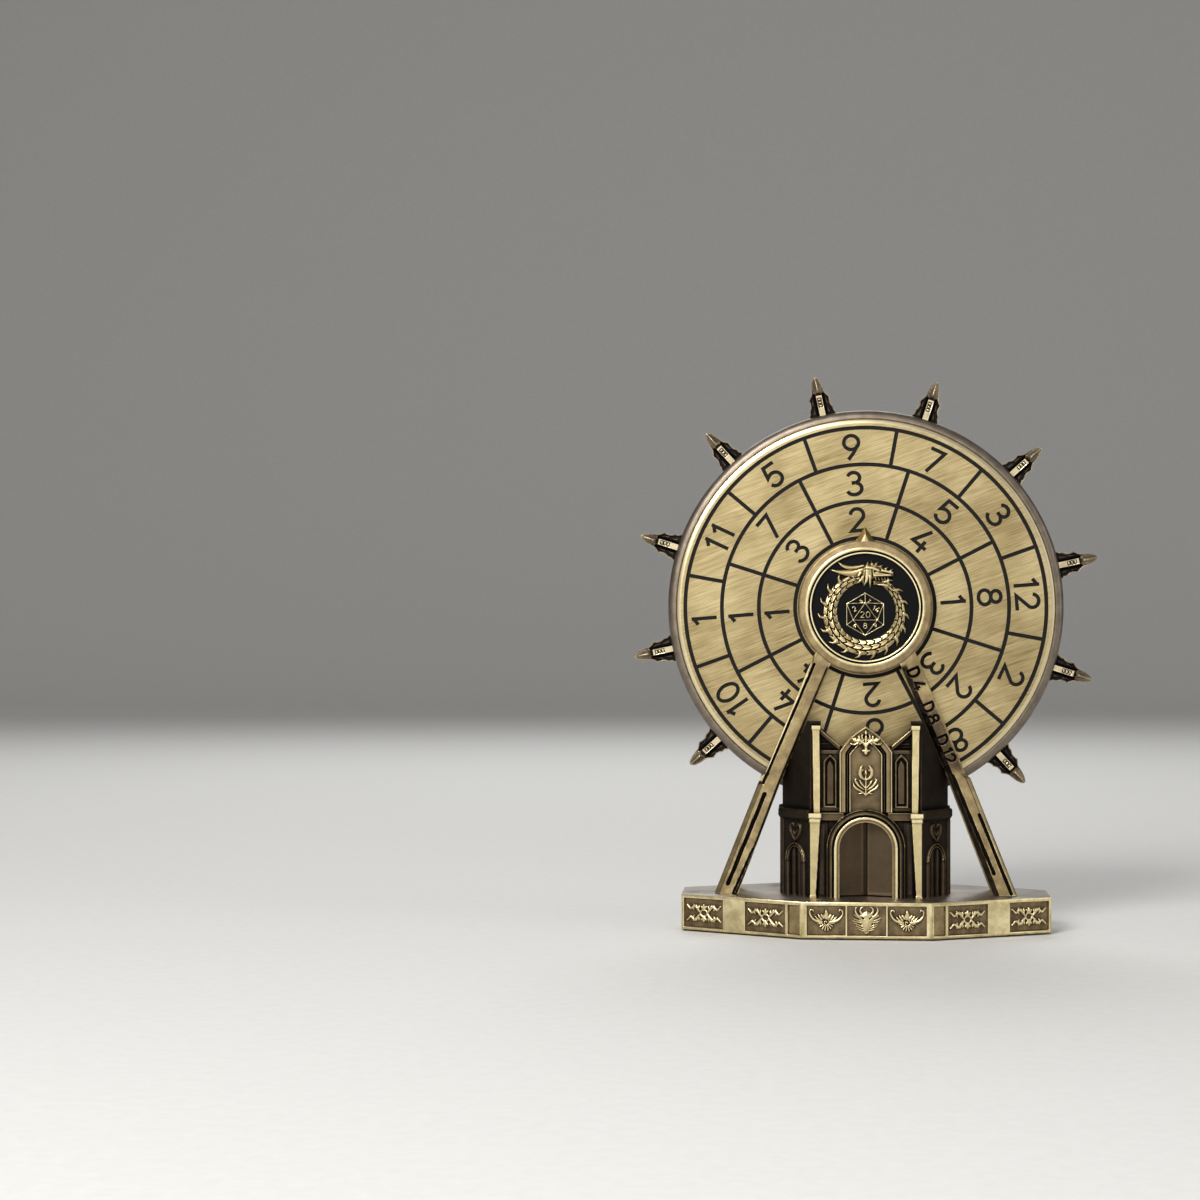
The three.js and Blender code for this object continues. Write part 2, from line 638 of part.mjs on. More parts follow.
function raceway(inner, outer, groove, towardsAxis) {
  const half = BALL_RADIUS + 0.06;
  const wall = towardsAxis ? inner : outer;
  const other = towardsAxis ? outer : inner;
  return turned([
    [other, -RACE_HALF], [wall, -RACE_HALF], [wall, -half], [groove, -half * 0.5],
    [groove, half * 0.5], [wall, half], [wall, RACE_HALF], [other, RACE_HALF],
  ], RACE_SEGMENTS);
}

const innerRace = () => raceway(BORE, INNER_RACE, BALL_PITCH - BALL_RADIUS - 0.07, false);
const outerRace = () => raceway(OUTER_RACE_BORE, OUTER_RACE, BALL_PITCH + BALL_RADIUS + 0.07, true);

function ballCage() {
  const ring = tube(CAGE_INNER, CAGE_OUTER, -CAGE_HALF, CAGE_HALF, 24);
  const balls = Array.from({ length: BALL_COUNT }, (_, i) => {
    const angle = (i * 2 * Math.PI) / BALL_COUNT;
    const geometry = new THREE.SphereGeometry(BALL_RADIUS, 8, 5);
    geometry.translate(BALL_PITCH * Math.cos(angle), 0, BALL_PITCH * Math.sin(angle));
    return solid(geometry);
  });
  return join([ring, ...balls]);
}

function shield() {
  return tube(SHIELD_INNER, SHIELD_OUTER, -SHIELD_FACE, -SHIELD_FACE + SHIELD_THICKNESS, RACE_SEGMENTS);
}

// ---------------------------------------------------------------- axle and screws

function axle() {
  return tube(SCREW_RADIUS + 0.1, AXLE_RADIUS, -AXLE_HALF, AXLE_HALF, 24);
}

function axleScrew() {
  const head = rod(SCREW_HEAD, -SCREW_FACE, -SCREW_SEAT);
  const shank = rod(SCREW_RADIUS, -SCREW_SEAT - 0.05, -SCREW_END);
  const reach = SCREW_HEAD + 1;
  const half = SLOT_WIDTH / 2;
  const slot = box([-reach, -SCREW_FACE - 1, -half], [reach, -SCREW_FACE + SLOT_DEPTH, half]);
  return cut(head.add(shank), [slot]);
}

// A small screw that comes up through the base's top plate.
function baseScrew([x, y], depth) {
  const seat = BASE_TOP - BASE_PLATE;
  const bottom = seat - SMALL_HEAD_HEIGHT;
  const head = post(x, y, SMALL_SCREW_HEAD, bottom, seat - 0.05, 12);
  const shank = post(x, y, SMALL_SCREW_RADIUS, seat - 0.1, BASE_TOP + depth, 10);
  const socket = post(x, y, SMALL_SOCKET_RADIUS, bottom - 1, bottom + 0.6, 6);
  return head.add(shank).subtract(socket);
}

// ---------------------------------------------------------------- materials

const finishes = {
  brushedBrass: { color: 0xbfa066, roughness: 0.38, metalness: 1 },
  antiqueBrass: { color: 0x8c7350, roughness: 0.45, metalness: 1 },
  darkBronze: { color: 0x4a4036, roughness: 0.5, metalness: 1 },
  blackEnamel: { color: 0x15140f, roughness: 0.35, metalness: 0 },
  steel: { color: 0xb8bbc0, roughness: 0.25, metalness: 1 },
  felt: { color: 0x161616, roughness: 0.95, metalness: 0 },
};

function mesh(name, manifold, finish) {
  const part = new THREE.Mesh(geometryOf(manifold), new THREE.MeshStandardMaterial(finishes[finish]));
  part.name = name;
  return part;
}

// ---------------------------------------------------------------- assembly

const toHub = (manifold) => lift(manifold, HUB_HEIGHT);

function stand() {
  const group = new THREE.Group();
  group.add(mesh('base_casting', baseCasting(), 'antiqueBrass'));
  group.add(mesh('base_pad', basePad(), 'felt'));
  group.add(mesh('axle', toHub(axle()), 'steel'));
  group.add(mesh('bearing_inner_race', toHub(innerRace()), 'steel'));
  const frameSpot = [-FRAME_SCREW_X, -(FRAME_FACE + FRAME_BACK) / 2];
  const castleSpot = [-CASTLE_SCREW[0], -CASTLE_SCREW[1]];
  for (const [end, place] of [['front', (part) => part], ['rear', halfTurn]]) {
    group.add(mesh(`frame_${end}`, place(frame()), 'antiqueBrass'));
    group.add(mesh(`medallion_${end}`, place(medallion()), 'blackEnamel'));
    group.add(mesh(`castle_${end}`, place(castleHalf()), 'darkBronze'));
    group.add(mesh(`axle_screw_${end}`, place(toHub(axleScrew())), 'steel'));
    for (const [side, across] of [['left', (part) => part], ['right', mirrorX]]) {
      const put = (part) => place(across(part));
      const frameScrew = baseScrew(frameSpot, FRAME_SCREW_DEPTH);
      const castleScrew = baseScrew(castleSpot, CASTLE_SCREW_DEPTH);
      group.add(mesh(`gate_leaf_${end}_${side}`, put(gateLeaf()), 'darkBronze'));
      group.add(mesh(`frame_screw_${end}_${side}`, put(frameScrew), 'steel'));
      group.add(mesh(`castle_screw_${end}_${side}`, put(castleScrew), 'steel'));
    }
  }
  return group;
}

// The wheel is drawn about its own axis, then raised to the hub and turned to its rest position.
function wheel() {
  const group = new THREE.Group();
  group.add(mesh('wheel_body', wheelBody(), 'darkBronze'));
  group.add(mesh('dial_front', dial(), 'brushedBrass'));
  group.add(mesh('dial_rear', halfTurn(dial()), 'brushedBrass'));
  finialAngles().forEach((angle, i) => {
    const name = `finial_${String(i + 1).padStart(2, '0')}`;
    group.add(mesh(name, pointAt(finial(), angle), 'antiqueBrass'));
  });
  group.add(mesh('bearing_outer_race', outerRace(), 'steel'));
  group.add(mesh('bearing_ball_cage', ballCage(), 'steel'));
  group.add(mesh('bearing_shield_front', shield(), 'steel'));
  group.add(mesh('bearing_shield_rear', halfTurn(shield()), 'steel'));
  group.position.z = HUB_HEIGHT;
  group.rotation.y = -radians(REST_TURN);
  return group;
}

const assembly = new THREE.Group();
assembly.add(stand(), wheel());

export default assembly;
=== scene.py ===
"""Antique-brass dice wheel: a numbered wheel on a ball bearing between two A-frames, over a small
Gothic gatehouse in two halves, on a long octagonal base. Lengths are millimetres until a mesh is made."""

import math

import bmesh
import bpy
import numpy as np
from mathutils import Matrix, Vector
from mathutils.geometry import delaunay_2d_cdt


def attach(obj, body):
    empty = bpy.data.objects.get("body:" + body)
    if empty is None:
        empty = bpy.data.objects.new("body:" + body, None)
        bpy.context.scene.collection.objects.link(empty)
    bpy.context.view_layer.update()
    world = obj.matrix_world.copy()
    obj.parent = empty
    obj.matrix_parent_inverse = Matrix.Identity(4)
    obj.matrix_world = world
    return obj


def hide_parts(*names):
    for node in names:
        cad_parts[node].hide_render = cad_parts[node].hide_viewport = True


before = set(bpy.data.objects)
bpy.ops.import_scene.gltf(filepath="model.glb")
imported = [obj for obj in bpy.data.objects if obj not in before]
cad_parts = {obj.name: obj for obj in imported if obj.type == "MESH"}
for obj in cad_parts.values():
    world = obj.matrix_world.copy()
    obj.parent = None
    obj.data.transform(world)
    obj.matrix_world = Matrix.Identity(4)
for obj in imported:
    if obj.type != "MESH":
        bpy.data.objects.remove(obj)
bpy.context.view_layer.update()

MM = 0.001
HUB = 63.7  # height of the wheel's axis
TOP = 7.3  # height of the base's top
FOOT = TOP + 0.1  # where the legs and the gatehouse stand
REST_TURN = 4.7  # degrees
DIGIT_HEIGHT = 5.0
DIGIT_WIDTH = 3.54

# ------------------------------------------------------------------ meshes


def new_object(name, mesh):
    made = bpy.data.objects.new(name, mesh)
    bpy.context.scene.collection.objects.link(made)
    return made


def solid(name, points, faces):
    """A mesh object from points in millimetres, with its faces turned outward."""
    mesh = bpy.data.meshes.new(name)
    mesh.from_pydata((np.asarray(points, float) * MM).tolist(), [], [list(map(int, f)) for f in faces])
    turned = bmesh.new()
    turned.from_mesh(mesh)
    bmesh.ops.recalc_face_normals(turned, faces=turned.faces)
    turned.to_mesh(mesh)
    turned.free()
    return new_object(name, mesh)


def cells(index):
    return np.stack([index[:-1, :-1], index[:-1, 1:], index[1:, 1:], index[1:, :-1]], -1).reshape(-1, 4)


def rim_of(index):
    return np.concatenate([index[0], index[1:, -1], index[-1, -2::-1], index[-2:0:-1, 0]])


def block(name, front, back):
    """A solid between a grid of points in front and either a second grid or a flat back at a distance."""
    rows, cols = front.shape[:2]
    near = np.arange(rows * cols).reshape(rows, cols)
    edge = rim_of(near)
    faces = cells(near).tolist()
    if np.ndim(back) == 3:
        far = near + rows * cols
        faces += cells(far)[:, ::-1].tolist()
        points = np.concatenate([front.reshape(-1, 3), back.reshape(-1, 3)])
        behind = rim_of(far)
    else:
        flat = front.reshape(-1, 3)[edge].copy()
        flat[:, 1] = -back
        points = np.concatenate([front.reshape(-1, 3), flat])
        behind = rows * cols + np.arange(len(edge))
        corner = 2 * cols + rows - 3
        right = behind[cols - 1 : cols + rows - 1]
        left = np.concatenate([behind[:1], behind[:corner:-1], behind[corner : corner + 1]])
        faces.append([*behind[:cols], right[1], left[1]])
        faces += [[left[i], right[i], right[i + 1], left[i + 1]] for i in range(1, rows - 2)]
        faces.append([*behind[corner - cols + 1 : corner + 1], left[-2], right[-2]])
    faces += np.stack([edge, behind, np.roll(behind, -1), np.roll(edge, -1)], -1).tolist()
    return solid(name, points, faces)


def extruded(name, near, far):
    """A solid between two outlines whose points correspond."""
    count = len(near)
    around = [[i, (i + 1) % count, count + (i + 1) % count, count + i] for i in range(count)]
    return solid(name, [*near, *far], [list(range(count)), list(range(count, 2 * count)), *around])


def prism(name, outline, front, back):
    """An upright plate: an outline of (x, z) between two distances in front of the mid-plane."""
    return extruded(name, *([(x, -depth, z) for x, z in outline] for depth in (front, back)))


def slab(name, outline, low, high):
    """A level slab: an outline of (x, y) between two heights."""
    return extruded(name, *([(x, y, level) for x, y in outline] for level in (low, high)))


def lathe(name, profile, segments, height=0.0):
    """A closed profile of (radius, distance in front) turned about the wheel's axis."""
    turns = np.linspace(0, 2 * np.pi, segments, endpoint=False)
    radius, front = np.array(profile, float).T
    x = np.cos(turns)[:, None] * radius
    z = np.sin(turns)[:, None] * radius + height
    points = np.stack([x, np.broadcast_to(-front, x.shape), z], -1).reshape(-1, 3)
    index = np.arange(len(points)).reshape(segments, -1)
    index = np.concatenate([index, index[:1]])
    index = np.concatenate([index, index[:, :1]], 1)
    return solid(name, points, cells(index))


def apply_modifiers(made):
    graph = bpy.context.evaluated_depsgraph_get()
    mesh = bpy.data.meshes.new_from_object(made.evaluated_get(graph))
    made.modifiers.clear()
    made.data = mesh
    return made


def combine(made, tool, operation):
    change = made.modifiers.new("combine", "BOOLEAN")
    change.object = tool
    change.operation = operation
    change.solver = "MANIFOLD"
    apply_modifiers(made)
    bpy.data.objects.remove(tool)
    return made


def soften(made, width, segments=2, angle=30):
    """Rounds the sharp edges."""
    change = made.modifiers.new("soften", "BEVEL")
    change.width = width * MM
    change.segments = segments
    change.limit_method = "ANGLE"
    change.angle_limit = math.radians(angle)
    return apply_modifiers(made)


def places(items, key):
    """The positions of a mesh's vertices, or the centres of its polygons, in millimetres."""
    flat = np.empty(len(items) * 3)
    items.foreach_get(key, flat)
    return flat.reshape(-1, 3).T / MM


def finish_where(made, material, chosen):
    """Gives a second material to the polygons whose centres are chosen."""
    made.data.materials.append(material)
    picked = chosen(*places(made.data.polygons, "center"))
    made.data.polygons.foreach_set("material_index", picked.astype(np.int32))
    return made


def set_wear(made, wear):
    """Stores how far each point is polished, from 0 for black patina to 1 for bright brass; on a few parts
    the values also hold painted shade and painted highlights.
    """
    mesh = made.data
    spots = places(mesh.vertices, "co")
    values = wear(*spots) if callable(wear) else np.full(len(mesh.vertices), float(wear))
    layer = mesh.attributes.new("wear", "FLOAT", "POINT")
    layer.data.foreach_set("value", values.astype(np.float32))


def dress(made, material, wear=0.5, angle=35):
    """Gives a mesh its material, its polish values with any painted light, and its shading."""
    set_wear(made, wear)
    mesh = made.data
    mesh.materials.clear()
    mesh.materials.append(material)
    mesh.shade_smooth()
    mesh.set_sharp_from_angle(angle=math.radians(angle))
    return made


def place(made, body, slot, nodes=(), matrix=None):
    """Puts a finished piece on its body. The matrix is in millimetres."""
    if matrix is not None:
        shifted = matrix.copy()
        shifted.translation = shifted.translation * MM
        made.matrix_world = shifted
    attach(made, body)
    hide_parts(*nodes)
    return made


def twin(made, name):
    return new_object(name, made.data)


HALF_TURN = Matrix.Rotation(math.pi, 4, "Z")

# ------------------------------------------------------------------ shapes


def arc(cx, cz, rx, rz, start, end, count=16):
    turns = np.radians(np.linspace(start, end, count))
    return [(cx + rx * math.cos(t), cz + rz * math.sin(t)) for t in turns]


def spline(points, count=5):
    """A smooth curve through points, which may carry more values than a place."""
    p = np.array(points, float)
    p = np.concatenate([[2 * p[0] - p[1]], p, [2 * p[-1] - p[-2]]])
    out = []
    for i in range(1, len(p) - 2):
        for t in np.linspace(0, 1, count, endpoint=False):
            a, b, c, d = p[i - 1 : i + 3]
            square, cube = 2 * a - 5 * b + 4 * c - d, 3 * b - a - 3 * c + d
            out.append(0.5 * (2 * b + (c - a) * t + square * t**2 + cube * t**3))
    out.append(p[-2])
    return np.array(out)


def to_segment(x, z, a, b):
    """Distance from points to a segment, and the share of the way along it."""
    ax, az = a
    dx, dz = b[0] - ax, b[1] - az
    share = np.clip(((x - ax) * dx + (z - az) * dz) / max(dx * dx + dz * dz, 1e-12), 0, 1)
    return np.hypot(x - ax - share * dx, z - az - share * dz), share


def to_line(x, z, points):
    return np.min([to_segment(x, z, a, b)[0] for a, b in zip(points[:-1], points[1:])], axis=0)


def in_polygon(x, z, points):
    """Signed distance to a polygon, negative inside."""
    nearest = np.full(np.shape(x), 1e9)
    inside = np.zeros(np.shape(x), bool)
    for (ax, az), (bx, bz) in zip(points, points[1:] + points[:1]):
        nearest = np.minimum(nearest, to_segment(x, z, (ax, az), (bx, bz))[0])
        if az != bz:
            inside ^= ((az > z) != (bz > z)) & (x < (bx - ax) * (z - az) / (bz - az) + ax)
    return np.where(inside, -nearest, nearest)


def in_box(x, z, low, high):
    dx = np.abs(x - (low[0] + high[0]) / 2) - (high[0] - low[0]) / 2
    dz = np.abs(z - (low[1] + high[1]) / 2) - (high[1] - low[1]) / 2
    return np.hypot(np.maximum(dx, 0), np.maximum(dz, 0)) + np.minimum(np.maximum(dx, dz), 0)


def in_arch(x, z, half, spring):
    """Signed distance to a round-headed opening that runs down without end."""
    return np.where(z > spring, np.hypot(x, z - spring), np.abs(x)) - half


def smooth(share):
    share = np.clip(share, 0, 1)
    return share * share * (3 - 2 * share)


class Field:
    """Height and polish level, with painted shade and highlights in places, over points (x, z), built up
    shape by shape.
    """

    def __init__(self, x, z, height, wear):
        self.x, self.z = x, z
        self.height = np.full(np.shape(x), float(height))
        self.wear = np.full(np.shape(x), float(wear))

    def put(self, distance, height=None, wear=None, edge=0.16):
        share = smooth(0.5 - distance / edge)
        if height is not None:
            self.height += (height - self.height) * share
        if wear is not None:
            self.wear += (wear - self.wear) * share

    def swell(self, lines, top, wear):
        """Rounded strokes that rise to a level. Each point of a line is (x, z, half width)."""
        rise = np.zeros(np.shape(self.x))
        for line in lines:
            for a, b in zip(line[:-1], line[1:]):
                distance, share = to_segment(self.x, self.z, a[:2], b[:2])
                half = a[2] + (b[2] - a[2]) * share
                bulge = np.sqrt(np.clip(1 - (distance / half) ** 2, 0, 1))
                rise = np.maximum(rise, bulge * np.minimum(1, 0.35 + half / 0.45))
        self.height += np.maximum(top - self.height, 0) * rise
        self.wear += (wear - self.wear) * smooth(rise * 2.2)

    def dome(self, outline, run, top, wear):
        """Rises from an outline to a level, over a run. The outline is a signed distance."""
        self.height += np.maximum(top - self.height, 0) * np.clip(-outline / run, 0, 1) ** 0.5
        self.wear += (wear - self.wear) * smooth(-outline / 0.1)


def grid(low, high, step):
    columns = int(round((high[0] - low[0]) / step)) + 1
    rows = int(round((high[1] - low[1]) / step)) + 1
    return np.meshgrid(np.linspace(low[0], high[0], columns), np.linspace(low[1], high[1], rows))


def relief(name, low, high, step, shape, back):
    """A solid whose front follows shape(x, z), which returns a Field."""
    x, z = grid(low, high, step)
    return block(name, np.stack([x, -shape(x, z).height, z], -1), back)


def wear_of(shape):
    return lambda x, y, z: shape(x, z).wear


def curved(*strokes):
    """Strokes whose points are joined by smooth curves."""
    return [[tuple(p) for p in spline(list(stroke))] for stroke in strokes]


BOTH_SIDES = ((1, 1), (-1, 1))
ALL_QUARTERS = (*BOTH_SIDES, (1, -1), (-1, -1))


def upright(*points):
    """A stroke straight up the middle, from (height, half width) at its points."""
    return [(0, z, half) for z, half in points]


def mirrored(lines, signs=BOTH_SIDES):
    return [[(x * sx, z * sz, half) for x, z, half in line] for line in lines for sx, sz in signs]


# ------------------------------------------------------------------ numerals

PEN = 0.36  # half the width of an engraved stroke on the dial
EDGE = 0.1  # width of a groove's sloping side


def bowl(cz, rx, rz, count=33):
    """The closed oval of a numeral."""
    return arc(DIGIT_WIDTH / 2, cz, rx, rz, 0, 360, count)[:-1], True


# Each letter is a list of strokes, and a stroke is its points and whether it closes.
GLYPHS = {
    "0": [bowl(2.5, 1.45, 2.19, 41)],
    "1": [([(1.5, 5.0), (1.5, 0.0)], False), ([(1.5, 4.55), (0.35, 3.75)], False)],
    "2": [(arc(1.72, 3.4, 1.3, 1.25, 172, -36, 20) + [(0.5, PEN), (3.4, PEN)], False)],
    "3": [
        (arc(1.66, 3.64, 1.2, 1.05, 160, -72, 18), False),
        (arc(1.66, 1.5, 1.46, 1.19, 76, -160, 20), False),
        ([(1.2, 2.66), (2.0, 2.66)], False),
    ],
    "4": [([(2.35, 5.0), (0.35, 1.45), (3.54, 1.45)], False), ([(2.5, 2.7), (2.5, 0.0)], False)],
    "5": [([(3.2, 4.64), (0.85, 4.64), (0.55, 2.45), *arc(1.75, 1.62, 1.42, 1.31, 125, -155, 22)], False)],
    "6": [bowl(1.68, 1.45, 1.37), ([(2.55, 5.0), (1.45, 3.75), (0.6, 2.3)], False)],
    "7": [([(0.2, 4.64), (3.1, 4.64), (1.15, 0.0)], False)],
    "8": [bowl(3.7, 1.14, 0.99, 29), bowl(1.52, 1.43, 1.2)],
    "9": [bowl(3.32, 1.45, 1.37), ([(0.99, 0.0), (2.09, 1.25), (2.94, 2.7)], False)],
    "D": [([
        (0.315, 0.315), (0.315, 4.685), (1.5, 4.685),
        *arc(1.5, 2.5, 1.72, 2.185, 80, -80, 14), (1.5, 0.315),
    ], True)],
}
WIDTHS = {"1": 2.2, "D": 3.5}


def lettering(text, size=DIGIT_HEIGHT, gap=0.75):
    """Strokes of a text centred on the origin: [(points, closed)]."""
    scale = size / DIGIT_HEIGHT
    widths = [WIDTHS.get(letter, DIGIT_WIDTH) for letter in text]
    start = -(sum(widths) + gap * (len(text) - 1)) / 2
    strokes = []
    for letter, width in zip(text, widths):
        for points, closed in GLYPHS[letter]:
            spots = [((x + start) * scale, (z - DIGIT_HEIGHT / 2) * scale) for x, z in points]
            strokes.append((spots, closed))
        start += width + gap
    return strokes


def moved(strokes, cx, cz, turn):
    """Strokes turned by an angle in degrees and then shifted."""
    c, s = math.cos(math.radians(turn)), math.sin(math.radians(turn))

    def spot(x, z):
        return cx + x * c - z * s, cz + x * s + z * c

    return [([spot(*point) for point in points], closed) for points, closed in strokes]


def stroke_distance(x, z, stroke, half):
    """Distance to a stroke's centre line, measured so that an open stroke ends square."""
    points, closed = stroke
    nearest = to_line(x, z, [*points, points[0]] if closed else points)
    if not closed:
        for end, inner in ((points[0], points[1]), (points[-1], points[-2])):
            length = math.dist(end, inner)
            ux, uz = (inner[0] - end[0]) / length, (inner[1] - end[1]) / length
            along = (x - end[0]) * ux + (z - end[1]) * uz
            close = np.hypot(x - end[0], z - end[1]) < half * 1.6
            nearest = np.where(close, np.maximum(nearest, half - along), nearest)
    return nearest


def ribbon(stroke, half, inset):
    """The outline loops of a stroke with mitred corners."""
    points, closed = stroke
    p = np.array(points, float)
    if closed:
        before, after = np.roll(p, 1, 0), np.roll(p, -1, 0)
    else:
        for end, inner in ((0, 1), (-1, -2)):
            way = p[inner] - p[end]
            p[end] = p[end] + way / np.hypot(*way) * inset
        before = np.concatenate([[2 * p[0] - p[1]], p[:-1]])
        after = np.concatenate([p[1:], [2 * p[-1] - p[-2]]])
    one, two = p - before, after - p
    one /= np.hypot(*one.T)[:, None]
    two /= np.hypot(*two.T)[:, None]
    normal = one + two
    normal = np.stack([-normal[:, 1], normal[:, 0]], -1)
    normal /= np.hypot(*normal.T)[:, None]
    across = np.clip(normal[:, 0] * -one[:, 1] + normal[:, 1] * one[:, 0], 0.42, 1)
    offset = normal * (half / across)[:, None]
    if closed:
        return [p + offset, p - offset]
    return [np.concatenate([p + offset, (p - offset)[::-1]])]


# ------------------------------------------------------------------ materials


class Graph:
    """A small helper for node materials. Lengths in it are millimetres."""

    def __init__(self, name):
        self.material = bpy.data.materials.new(name)
        self.material.use_nodes = True
        self.tree = self.material.node_tree
        self.shader = self.tree.nodes["Principled BSDF"]
        place_node = self.add("TexCoord")
        self.place = self.vector("MULTIPLY", place_node.outputs["Object"], (1000, 1000, 1000))

    def add(self, kind, **settings):
        node = self.tree.nodes.new("ShaderNode" + kind)
        for key, value in settings.items():
            setattr(node, key, value)
        return node

    def set(self, socket, value):
        if isinstance(value, bpy.types.NodeSocket):
            self.tree.links.new(value, socket)
        else:
            socket.default_value = value

    def vector(self, operation, a, b):
        node = self.add("VectorMath", operation=operation)
        self.set(node.inputs[0], a)
        self.set(node.inputs[1], b)
        return node.outputs[0]

    def math(self, operation, a, b=0.0, clamp=False):
        node = self.add("Math", operation=operation, use_clamp=clamp)
        self.set(node.inputs[0], a)
        self.set(node.inputs[1], b)
        return node.outputs[0]

    def span(self, value, low, high, to_low, to_high):
        node = self.add("MapRange")
        for key, number in (("From Min", low), ("From Max", high), ("To Min", to_low), ("To Max", to_high)):
            node.inputs[key].default_value = number
        self.set(node.inputs["Value"], value)
        return node.outputs[0]

    def vary(self, pattern, low, high):
        """Noise spread over a range, so that it reaches both ends."""
        return self.span(pattern, 0.3, 0.7, low, high)

    def total(self, value, *others, clamp=False):
        for other in others[:-1]:
            value = self.math("ADD", value, other)
        return self.math("ADD", value, others[-1], clamp)

    def noise(self, scale, detail=2.0, rough=0.5, place=None):
        node = self.add("TexNoise")
        self.set(node.inputs["Vector"], self.place if place is None else place)
        node.inputs["Scale"].default_value = scale
        node.inputs["Detail"].default_value = detail
        node.inputs["Roughness"].default_value = rough
        return node.outputs["Fac"]

    def streaks(self, angle, along, across, detail=3.0):
        """Noise drawn out along a direction that lies in the XZ plane."""
        turned = self.add("VectorRotate", rotation_type="Y_AXIS")
        self.set(turned.inputs["Vector"], self.place)
        turned.inputs["Angle"].default_value = math.radians(angle)
        stretched = self.vector("MULTIPLY", turned.outputs[0], (along, 0.02, across))
        return self.noise(1.0, detail, 0.6, stretched)

    def attribute(self, name):
        return self.add("Attribute", attribute_name=name).outputs["Fac"]

    def occlusion(self, distance, inside=False):
        node = self.add("AmbientOcclusion", samples=6, inside=inside, only_local=True)
        node.inputs["Distance"].default_value = distance * MM
        return self.math("SUBTRACT", 1.0, node.outputs["AO"])

    def ramp(self, value, stops):
        node = self.add("ValToRGB")
        elements = node.color_ramp.elements
        while len(elements) < len(stops):
            elements.new(0.5)
        for element, (position, colour) in zip(elements, stops):
            element.position = position
            element.color = (*colour, 1)
        self.set(node.inputs["Fac"], value)
        return node.outputs["Color"]

    def mottle(self, pattern, dark, light):
        return self.ramp(self.vary(pattern, 0, 1), [(0.0, dark), (1.0, light)])

    def tint(self, share, a, b):
        node = self.add("Mix", data_type="RGBA", blend_type="MIX")
        self.set(node.inputs[0], share)
        self.set(node.inputs[6], a)
        self.set(node.inputs[7], b)
        return node.outputs[2]

    def bump(self, height, strength, depth):
        node = self.add("Bump")
        node.inputs["Strength"].default_value = strength
        node.inputs["Distance"].default_value = depth * MM
        self.set(node.inputs["Height"], height)
        return node.outputs[0]

    def finish(self, colour, roughness, normal, metallic=1.0, **constants):
        self.set(self.shader.inputs["Base Color"], colour)
        self.set(self.shader.inputs["Roughness"], roughness)
        self.set(self.shader.inputs["Normal"], normal)
        self.set(self.shader.inputs["Metallic"], metallic)
        for name, value in constants.items():
            self.shader.inputs[name.replace("_", " ")].default_value = value
        return self.material


BRASS_TONES = [
    (0.00, (0.010, 0.008, 0.007)),
    (0.20, (0.036, 0.027, 0.020)),
    (0.42, (0.120, 0.086, 0.052)),
    (0.66, (0.340, 0.255, 0.130)),
    (0.86, (0.640, 0.525, 0.275)),
    (1.00, (0.900, 0.785, 0.470)),
]


def antique_metal(name, tones=BRASS_TONES, edge=0.5, crevice=1.0, patchy=0.22, rough=(0.62, 0.30), gap=0.9):
    """Cast metal that is black in its corners, brown on its faces and rubbed bright on its edges."""
    g = Graph(name)
    clouds = g.noise(0.45, 4.0, 0.6)
    grain = g.noise(7.0, 3.0, 0.6)
    rub = g.noise(1.8, 5.0, 0.7)
    rubbed = g.math("MULTIPLY", g.occlusion(0.22, inside=True), g.span(rub, 0.3, 0.6, 0.5, 1.2))
    dirt = g.math("MULTIPLY", g.occlusion(gap), g.vary(rub, 1.25, 0.8))
    patches = g.vary(clouds, -patchy / 2, patchy / 2)
    edges = g.math("MULTIPLY", rubbed, edge)
    level = g.total(g.attribute("wear"), patches, g.vary(grain, -0.05, 0.05), edges)
    level = g.math("SUBTRACT", level, g.math("MULTIPLY", dirt, crevice), clamp=True)
    roughness = g.total(g.span(level, 0, 1, *rough), g.vary(grain, -0.05, 0.05))
    scratches = g.streaks(20, 0.5, 9.0)
    height = g.total(grain, g.math("MULTIPLY", scratches, 0.6))
    return g.finish(g.ramp(level, tones), roughness, g.bump(height, 0.25, 0.02))


def brushed_face(name):
    """Lacquered brass with straight hairlines, darkened in scattered nicks and cloudy patches."""
    g = Graph(name)
    fine = g.streaks(17, 0.16, 13.0, 4.0)
    broad = g.span(g.streaks(15, 0.10, 2.6, 3.0), 0.35, 0.65, -0.13, 0.13)
    nicks = g.span(g.streaks(21, 0.30, 26.0, 2.0), 0.60, 0.72, 0.0, -0.35)
    clouds = g.noise(0.09, 3.0, 0.5)
    patches = g.span(clouds, 0.35, 0.65, -0.16, 0.16)
    level = g.total(g.vary(fine, 0.22, 0.76), broad, patches, nicks, clamp=True)
    colour = g.ramp(level, [
        (0.0, (0.170, 0.118, 0.050)),
        (0.3, (0.330, 0.252, 0.120)),
        (0.6, (0.480, 0.384, 0.200)),
        (1.0, (0.700, 0.590, 0.350)),
    ])
    # The stored per-point attribute tints towards bright brass; on the dial it holds only the painted
    # highlight on the edge chamfer.
    colour = g.tint(g.attribute("wear"), colour, (0.88, 0.77, 0.50, 1))
    roughness = g.total(g.vary(fine, 0.42, 0.28), g.vary(clouds, -0.03, 0.03))
    return g.finish(colour, roughness, g.bump(fine, 0.35, 0.02))


def enamel(name, colour=(0.0055, 0.0050, 0.0045), rough=0.6):
    g = Graph(name)
    specks = g.noise(5.0, 3.0, 0.6)
    film = g.noise(0.6, 4.0, 0.6)
    tone = g.mottle(film, colour, tuple(c * 1.9 for c in colour))
    roughness = g.vary(film, rough - 0.08, rough + 0.12)
    return g.finish(tone, roughness, g.bump(specks, 0.3, 0.02), metallic=0.0, Specular_IOR_Level=0.2)


